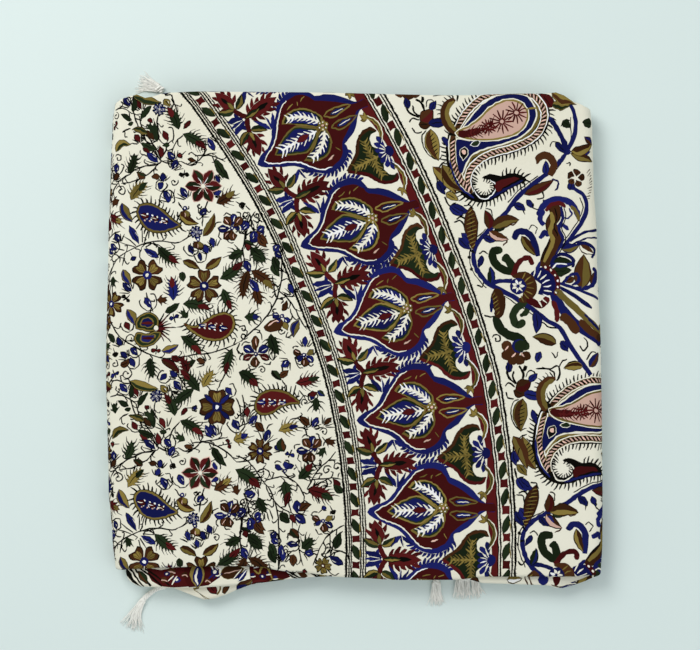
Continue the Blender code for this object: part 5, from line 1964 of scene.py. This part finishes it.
def paisley(ink, place):
    """The large hooked paisley, from its hairs in to the rosettes in its head."""
    edge = curve(place(PAISLEY_EDGE), 3, closed=True)
    fill(ink, edge, "black", 3)
    for part in (edge[:60], edge[84:]):
        for side in (1, -1):
            hairs(ink, part, 7.0, 3.8, "black", 2, width=1.7, lean=0.35, side=side)
    for side in (1, -1):
        hairs(ink, edge[54:78], 4.0, 2.8, "black", 2, width=1.3, lean=0.3, side=side)
    blue = curve(place(PAISLEY_BLUE), 3, closed=True)
    ring_line(ink, place(PAISLEY_BLUE), 8.0, "ochre", 4)
    fill(ink, drawn_in(blue, -1.5), "cream", 5)
    for path in PAISLEY_ROPES:
        rope(ink, place(path), 5.0)
    fill(ink, blue, "blue", 9)
    heart = curve(place(PAISLEY_HEART), 3, closed=True)
    fill(ink, drawn_in(heart, -2.4), "cream", 10)
    fill(ink, drawn_in(heart, -1.4), "ochre", 11)
    fill(ink, drawn_in(heart, 0.4), "pink", 12)
    spine = place(PAISLEY_SPINE)
    stroke(ink, place([(458, 133), (466, 134), (474, 132), (482, 130)]), 7.5, "burgundy", 13, thin=(0.5, 0.1))
    feather(ink, spine[:3], 7.5, 2.9, "burgundy", 14, width=1.7, lean=0.8)
    stroke(ink, spine[:3], 1.6, "burgundy", 14)
    for spot, radius in ROSETTES:
        for k in range(13):
            spoke = turned([(2.0, 0), (radius * (0.92 + 0.08 * (k % 2)), 0)], 27.7 * k)
            stroke(ink, place(spoke + spot), 1.6, "burgundy", 14, thin=(0.9, 0.7), smooth_line=False)
    stroke(ink, place([(527, 108.5), (538, 107.5)]), 2.2, "ochre", 13, smooth_line=False)
    leaf(ink, *place([(465, 147), (463, 160)]), 8, "black", 11, edge="cream")
    dot(ink, place([(464, 152)])[0], 2.3, "pink", 12, sides=8)
    leaf(ink, *place([(480, 142), (471, 145)]), 5, "green", 11, edge="cream")
    fill(ink, curve(place(PAISLEY_TAIL), 3, closed=True), "burgundy", 6)
    for path, width, dye, level in PAISLEY_LINES:
        stroke(ink, place(path), width, dye, level)


def scallop(ink, place):
    """The brown flower on the vine, with a blue eye, and the striped cup next to it."""
    centre = place([(518, 286)])[0]
    blob(ink, place(SCALLOP), "brown", 4, steps=3)
    for k in range(7):
        away = turned([(9, 0), (16, 0)], -62 + 22 * k)
        stroke(ink, place(away + (518, 287)), 1.3, "ochre", 5, smooth_line=False)
    dot(ink, centre, 8.2, "blue", 5, sides=14)
    for k in range(7):
        petal = turned([(1.5, 0), (6.6, 0)], 51 * k)
        leaf(ink, *(petal + centre), 2.6, "cream", 6, edge=None)
    blob(ink, place(CUP), "blue", 4, steps=3)
    for k in range(9):
        away = turned([(13, 0), (21, 0)], -78 + 17 * k)
        stroke(ink, place(away + (531, 289)), 1.5, "cream", 5, smooth_line=False)
    rim = place([(543, 266), (551, 270), (557, 278), (558, 287), (555, 295)])
    stroke(ink, rim, 4.6, "burgundy", 6, thin=(0.6, 0.6))
    line = curve(rim, 3)
    for spot in line[1:-1:2]:
        dot(ink, spot, 1.2, "cream", 7, sides=6)


def scalloped_bloom(ink, place):
    """The brown bloom in the second turn of the pattern, with the green scroll's end on it."""
    for spot, radius in BLOOM:
        dot(ink, place([spot])[0], radius, "brown", 4, sides=9)
    for ends in (((512, 357), (516, 353)), ((505, 350), (509, 346)), ((524, 357), (521, 352))):
        stroke(ink, place(ends), 1.8, "pink", 5, smooth_line=False)
    dot(ink, place([(519, 346)])[0], 7.0, "blue", 5, sides=12)
    dot(ink, place([(520.5, 346)])[0], 6.0, "green", 6, sides=12)


def veins(ink, place, base, tip, width, dye):
    """Slanting veins across a leaf."""
    base, tip = np.array(base, float), np.array(tip, float)
    count = int(math.dist(base, tip) / VEIN_PITCH)
    way = (tip - base) / math.dist(base, tip)
    side = np.array([-way[1], way[0]])
    for k in range(1, count):
        middle = base + (tip - base) * k / count
        reach = side * width * 0.36 * math.sin(math.pi * k / count) ** 0.6
        ends = [middle - reach - way * 1.2, middle + reach + way * 1.6]
        stroke(ink, place(ends), 1.1, dye, 6, smooth_line=False)


def second_paisley(place):
    """The second turn's paisley, which the printer's block set a little straighter."""
    neck = place([(457, 133)])[0]
    return lambda points: turned(place(points) - neck, STRAIGHTER) + neck + (3.0, -1.0)


def outer_field():
    """The pattern outside the ring, in every turn that the sheet reaches."""
    ink = []
    for times in (-1, 0, 1):
        place = turned_on(times)
        lower = turned_on(times - 1)
        paisley(ink, second_paisley(place) if times == 1 else place)
        scallop(ink, place)
        scalloped_bloom(ink, lower)
        for at, strokes in ((place, OUTER_STROKES), (lower, LOWER_STROKES)):
            for path, width, dye, level, thin in strokes:
                stroke(ink, at(path), width, dye, level, thin=thin)
                for end, share in ((path[0], thin[0]), (path[-1], thin[1])):
                    if width >= ROUNDED_WIDTH and share >= 0.8:
                        dot(ink, at([end])[0], width * share * 0.58, dye, level, sides=10)
        for at, leaves in ((place, OUTER_LEAVES), (lower, LOWER_LEAVES)):
            for base, tip, width, dye, half_dye, bend in leaves:
                leaf(ink, *at([base, tip]), width, dye, 4, bend, half_dye=half_dye)
        for base, tip, width, dye in OUTER_BUDS:
            leaf(ink, *place([base, tip]), width, dye, 4, edge=None)
        for at, rows in ((place, VEINED_LEAVES), (lower, LOWER_VEINED_LEAVES)):
            for base, tip, width, dye, vein in rows:
                if dye:
                    leaf(ink, *at([base, tip]), width, dye, 4)
                veins(ink, at, base, tip, width, vein)
        crescent = curve(place([(453, 97), (444, 105), (441, 114), (443, 123)]), 4)
        hairs(ink, crescent, 6.5, 3.6, "black", 3, width=1.3, lean=0.2, side=1)
        for k in range(5):
            petal = turned([(2.5, 0), (8.5, 0)], 72 * k - 80)
            leaf(ink, *place(petal + (576, 178)), 6.5, "brown", 4, fat=0.6)
        edge = curve(place([(590, 168), (594, 182), (590, 200)]), 4)
        hairs(ink, edge, 5, 3.0, "brown", 3, side=1)
        curl(ink, place([(497, 339)])[0], 5, 200, 1.0, width=1.4, level=3)
    return ink


# The print where the lower layers come out at the front, and round their folds

FRONT_FOLD = FRONT + SOLID_THICKNESS / 2 + 1.5 * PLY_STEP
FOLD_RADIUS = 1.5 * PLY_STEP + SHEET_THICKNESS / 2
WHOLE_REACH = {"p": (CLOTH_P[0] + MM, CLOTH_P[-1] - MM), "q": (FRONT - 16 * MM, BACK + 16 * MM)}
SECOND_REACH = {"p": (RIGHT + 20 * MM, CLOTH_P[-1]), "q": (FRONT - 34 * MM, FRONT)}
THIRD_REACH = {"p": (RIGHT + 20 * MM, CLOTH_P[-1]), "q": (FRONT - 8 * MM, FRONT + 30 * MM)}
# How nearly all of a point is on one layer where the layer lies flat
WHOLLY = 0.999


def layer_knot(layer):
    """One place on a lower layer's flat part: its x, and the run of the cloth there."""
    route, shares = strip_route()
    on_layer = np.flatnonzero(shares[:, LAYERS.index(layer)] > WHOLLY)
    knot = on_layer[np.argmin(np.abs(route[on_layer, 0]))]
    return route[knot, 0], CLOTH_P[knot]


def front_round(y):
    """How far the cloth has run round the front fold, before its level part at 0."""
    level = np.maximum(y - FRONT_FOLD, 0)
    return FOLD_RADIUS * np.arcsin(np.clip((FRONT_FOLD - y) / FOLD_RADIUS, 0, 1)) - level


def to_second(drawn):
    """From the drawing to the run of the cloth on the second layer, which is upside down."""
    neat = neat_places(drawn, "second")
    x, p = layer_knot("second")
    section = strip_path()
    fold_end = CLOTH_Q[np.argmin(np.linalg.norm(section - (FRONT_FOLD, -1.5 * PLY_STEP), axis=1))]
    return np.stack([p + x - neat[:, 0], fold_end + front_round(neat[:, 1])], 1)


def to_third(drawn):
    """From the drawing to the run of the cloth on the third layer, which is right side up."""
    neat = neat_places(drawn, "third")
    x, p = layer_knot("third")
    return np.stack([p + neat[:, 0] - x, FRONT_FOLD - front_round(neat[:, 1])], 1)


# The lines and grounds of the second layer, in the drawing's units
SECOND_LINES = [
    [(126, 571), (128, 579), (133, 587)], [(128, 570), (131, 578), (137, 587)],
    [(130, 570), (135, 578), (143, 588)], [(133, 569), (140, 577), (150, 587)],
    [(139, 570), (149, 577), (161, 587)], [(144, 570), (155, 577), (169, 587)],
    [(278, 565), (287, 574), (298, 581)], [(282, 565), (290, 573), (301, 580)],
    [(300, 565), (309, 573), (319, 579)], [(304, 565), (313, 573), (323, 579)],
]
SECOND_GROUND = (
    [(146, 569), (160, 571), (186, 566), (190, 576), (188, 588), (173, 589), (160, 587), (151, 582)],
    [(184, 564), (222, 562), (218, 570), (219, 579), (208, 586), (188, 589)],
)
SECOND_STREAKS = (
    ((167, 582), (173, 577)), ((171, 586), (176, 577)), ((216, 568), (221, 571)), ((215, 577), (220, 576)),
)
LAST_DYES = ("green", "blue", "burgundy", "brown")


def second_layer():
    """The end of a band and its borders on the second layer, then the vine at its right."""
    ink = []
    for line in SECOND_LINES:
        stroke(ink, line, 1.7, "black", 3, thin=(1, 1))
    leaf(ink, (138, 573), (147, 585), 6, "green", 4, half_dye="brown")
    for outline in SECOND_GROUND:
        fill(ink, outline, "burgundy", 3)
    for spot, radius in (((170, 573), 4.6), ((163, 581), 3.2), ((184, 576), 3.0), ((207, 582), 3.0)):
        dot(ink, spot, radius, "brown", 4, sides=7)
        stroke(ink, [(spot[0] - radius, spot[1] + 1), spot, (spot[0] + radius, spot[1] + 2)], 1.2, "pink", 5)
    for x in (209, 213, 217):
        stroke(ink, [(x, 566), (x + 4, 571)], 1.6, "cream", 6, smooth_line=False)
        stroke(ink, [(x - 1, 580), (x + 4, 575)], 1.6, "blue", 6, smooth_line=False)
    for spot, radius in (((166, 575), 3.2), ((176, 581), 4.0), ((214, 573), 4.5)):
        dot(ink, spot, radius, "blue", 5, sides=8, squash=0.8)
        dot(ink, spot, radius * 0.4, "cream", 6, sides=6)
    for ends in SECOND_STREAKS:
        stroke(ink, ends, 1.6, "cream", 6, smooth_line=False)
    leaf(ink, (197, 589), (196, 562), 15, "ochre", 6, edge="brown", fat=0.5)
    leaf(ink, (197, 588), (197, 565), 10, "blue", 7, edge="cream", fat=0.45)
    stroke(ink, [(197, 586), (195, 579), (197, 570)], 2.2, "cream", 8)
    leaf(ink, (220, 576), (243, 570), 13, "brown", 5, edge="ochre", vein="pink")
    for ends in (((233, 580), (241, 570)), ((238, 582), (246, 571))):
        leaf(ink, *np.array(ends, float), 4.5, "blue", 5)
        stroke(ink, ends, 1.3, "cream", 7, smooth_line=False)
    fill(ink, [(248, 565), (276, 563), (290, 578), (276, 582), (250, 583)], "burgundy", 4)
    stroke(ink, [(253, 571), (258, 575), (262, 568), (267, 569), (272, 580)], 1.8, "ochre", 6)
    for x, y in ((252, 576), (268, 574), (275, 578), (256, 567)):
        dot(ink, (x, y), 2.2, "blue", 6, sides=7, squash=0.7)
        stroke(ink, [(x - 2.5, y + 2.2), (x + 3, y + 1.8)], 1.2, "cream", 7, smooth_line=False)
    dot(ink, (262, 578), 3.6, "blue", 6, squash=0.7)
    dot(ink, (262, 578), 1.3, "cream", 7, sides=6)
    leaf(ink, (235, 591), (252, 581), 8, "brown", 5, half_dye="ochre")
    leaf(ink, (251, 585), (268, 583), 6, "burgundy", 5)
    leaf(ink, (268, 584), (284, 581), 5, "black", 5, edge="ochre")
    fill(ink, [(284, 565), (298, 565), (298, 572), (292, 576), (286, 571)], "black", 4)
    fill(ink, [(296, 573), (300, 569), (308, 578), (303, 582)], "brown", 4)
    leaf(ink, (331, 577), (343, 574), 7, "blue", 4)
    leaf(ink, (319, 577), (330, 570), 8, "ochre", 4)
    leaf(ink, (508, 581), (522, 580), 8, "ochre", 4, edge="black", half_dye="cream")
    for x in (527, 531):
        stroke(ink, [(x, 575), (x - 1, 580), (x + 3, 589)], 1.3, "brown", 4)
    dot(ink, (544, 581), 5.4, "blue", 4, sides=12)
    leaf(ink, (557, 575), (557, 587), 6, "burgundy", 4, edge="burgundy")
    stroke(ink, [(552, 586), (562, 589), (572, 588), (584, 585), (598, 580)], 1.6, "brown", 4)
    stroke(ink, [(565, 591), (575, 593), (585, 589), (592, 586)], 1.6, "brown", 4)
    for k in range(8):
        base = np.array([352 + 17 * k, 581.0])
        leaf(ink, base, base + (9, 3), 6, LAST_DYES[k % len(LAST_DYES)], 4)
    return ink


def third_layer():
    """A stalk, comb lines and small leaves on the third layer."""
    ink = []
    stroke(ink, [(200, 584), (192, 591), (188, 602)], 4.6, "ochre", 3, thin=(1, 0.8))
    stroke(ink, [(202, 586), (195, 592), (191, 601)], 1.0, "brown", 4)
    for k in range(5):
        stroke(ink, [(181, 602.5 - 2.9 * k), (187, 600.5 - 2.9 * k)], 1.5, "black", 3, smooth_line=False)
    leaf(ink, (207, 587), (215, 596), 8, "burgundy", 4)
    stroke(ink, [(216, 584), (219, 589), (216, 597)], 1.8, "ochre", 4)
    leaf(ink, (221, 594), (228, 590), 5, "brown", 4)
    leaf(ink, (236, 592), (245, 586), 7, "blue", 4)
    leaf(ink, (168, 597), (160, 589), 6, "green", 4)
    return ink


FAR_RIGHT = 608
THIRD_SHOWN_TO = 250
FOLD_DYES = ("green", "blue", "burgundy", "brown", "ochre")
FOLD_PITCH = 15 * MM
FOLD_STAGGER = 7 * MM
CLEAR_OF_TOP = 6 * MM
CLEAR_OF_ENDS = 4 * MM
# How far in from the folds the two rows of motifs run
ROWS_IN = (2 * MM, 9 * MM)


def fold_motif(ink, place, index):
    """One of a few small motifs, taken in turn."""
    dye = FOLD_DYES[index % len(FOLD_DYES)]
    turn = 47 * index
    ends = turned([(-9, 0), (9, 0)], turn) + place
    if index % 4 == 0:
        comb_leaf(ink, *ends, 9, dye, FOLD_DYES[(index + 2) % len(FOLD_DYES)], 1.5, length=5)
    elif index % 4 == 1:
        flower(ink, place, 9, 5, turn, "brown", "blue", "ochre", level=3)
    elif index % 4 == 2:
        bud(ink, *ends, dye, 8)
    else:
        leaf(ink, *ends, 9, dye, 3, bend=2, half_dye="ochre")


def side_edges():
    """Small motifs by the left and right edges and on round the spines, over the whole depth of the sheet."""
    ink = []
    for k in range(46):
        x, y = 101 - 12 * (k % 3) + 2.5 * math.sin(2.1 * k), 96 + 10.8 * k
        if k % 3 or 0 < k % 5:
            fold_motif(ink, (x, y), k)
    for k in range(45):
        x, y = 613 + 13 * (k % 3) + 2.5 * math.sin(1.7 * k), 97 + 10.9 * k
        fold_motif(ink, (x, y), k + 2)
    for k in range(9):
        y = 120 + 56 * k
        sprig_line(ink, [(112, y - 22), (101, y - 8), (92, y + 6), (84, y + 14), (73, y + 20)], 1.3)
        curl(ink, (104, y + 4), 4.5, 40 * k, 1.0, width=1.2)
    return ink


def fold_rows():
    """Where the print shows on the lower layers from the sides: rows of small motifs round their folds."""
    rows = []
    left, right = CLOTH_P[0] + CLEAR_OF_ENDS, CLOTH_P[-1] - CLEAR_OF_ENDS
    top_left, top_right = TOP_REACH["p"][0] - CLEAR_OF_TOP, TOP_REACH["p"][1] + CLEAR_OF_TOP
    (second_x, second_p), (third_x, third_p) = layer_knot("second"), layer_knot("third")
    second_shown = second_p + second_x - (FAR_RIGHT - DRAWN_MIDDLE[0]) * DRAWN
    third_shown = third_p + (THIRD_SHOWN_TO - DRAWN_MIDDLE[0]) * DRAWN - third_x
    for inward in ROWS_IN:
        rows += [(left, top_left, BACK + inward), (top_right, right, BACK + inward)]
    for inward in ROWS_IN:
        q = FRONT - inward
        rows += [(left, top_left, q), (top_right, second_shown, q), (third_shown, right, q)]
    return rows


def folds():
    """Small motifs along the rows round the folds, every second row a little further on."""
    ink = []
    for row, (start, end, q) in enumerate(fold_rows()):
        for k, p in enumerate(np.arange(start, end, FOLD_PITCH)):
            middle = np.array([p + (row % 2) * FOLD_STAGGER, q]) / DRAWN
            if middle[0] * DRAWN < end:
                fold_motif(ink, middle, k + 3 * row)
    return ink


# The stage

FLOOR_SIZE = 3.0
FLOOR_DROP = 0.2 * MM
CAMERA_HEIGHT = 1.5
FILM_WIDTH = 36.0
FRAME_WIDTH = 700 * DRAWN
VIEW_MIDDLE = (350.0, 325.0)


def floor():
    """A pale floor just below the cloth."""
    size = FLOOR_SIZE
    corners = [(-size, -size, 0), (size, -size, 0), (size, size, 0), (-size, size, 0)]
    mesh = bpy.data.meshes.new("floor")
    mesh.from_pydata(corners, [], [(0, 1, 2, 3)])
    material, nodes, _ = new_material("floor_pale")
    shader = nodes["Principled BSDF"]
    shader.inputs["Base Color"].default_value = (0.70, 0.80, 0.785, 1)
    shader.inputs["Roughness"].default_value = 0.7
    mesh.materials.append(material)
    made = bpy.data.objects.new("floor", mesh)
    made.location = (0, 0, -FLOOR_DROP)
    bpy.context.scene.collection.objects.link(made)


def area_light(name, place, target, size, power, colour):
    """A soft light turned to its target."""
    data = bpy.data.lights.new(name, "AREA")
    data.size = size
    data.energy = power
    data.color = colour
    made = bpy.data.objects.new(name, data)
    made.location = place
    made.rotation_euler = (Vector(target) - Vector(place)).to_track_quat("-Z", "Y").to_euler()
    bpy.context.scene.collection.objects.link(made)


def lights():
    """A window, a weaker light across from it, and a pale sky."""
    world = bpy.data.worlds.new("soft_world")
    world.use_nodes = True
    world.node_tree.nodes["Background"].inputs["Color"].default_value = (0.93, 0.97, 0.97, 1)
    world.node_tree.nodes["Background"].inputs["Strength"].default_value = 0.55
    bpy.context.scene.world = world
    area_light("window", (-0.9, 1.1, 1.5), (0, 0, 0), 1.0, 22, (1.0, 0.99, 0.97))
    area_light("fill", (1.1, -0.8, 1.4), (0, 0, 0), 1.6, 7, (0.94, 0.98, 1.0))


def camera():
    """The photo's view, from straight above."""
    data = bpy.data.cameras.new("camera")
    data.sensor_width = FILM_WIDTH
    top = cad_high[2]
    data.lens = FILM_WIDTH * CAMERA_HEIGHT / FRAME_WIDTH
    data.clip_start = 0.05
    made = bpy.data.objects.new("camera", data)
    x = (VIEW_MIDDLE[0] - DRAWN_MIDDLE[0]) * DRAWN + SHIFT[0]
    y = (DRAWN_MIDDLE[1] - VIEW_MIDDLE[1]) * DRAWN + SHIFT[1]
    made.location = (x, y, top + CAMERA_HEIGHT)
    bpy.context.scene.collection.objects.link(made)
    bpy.context.scene.camera = made


camera()
lights()
floor()
sheet = sheet_piece()
tassels = [tassel_piece(dict(zip(TASSEL_COLUMNS, values)), i) for i, values in enumerate(TASSELS)]
prints = [
    print_piece("print_band", band()),
    print_piece("print_borders", borders()),
    print_piece("print_field", field()),
    print_piece("print_side_edges", side_edges()),
    print_piece("print_outer", outer_field()),
    print_piece("print_second_layer", second_layer(), to_second, SECOND_REACH),
    print_piece("print_third_layer", third_layer(), to_third, THIRD_REACH),
    print_piece("print_folds", folds(), lambda drawn: drawn * DRAWN, WHOLE_REACH),
]
bpy.context.scene.view_settings.view_transform = "Standard"
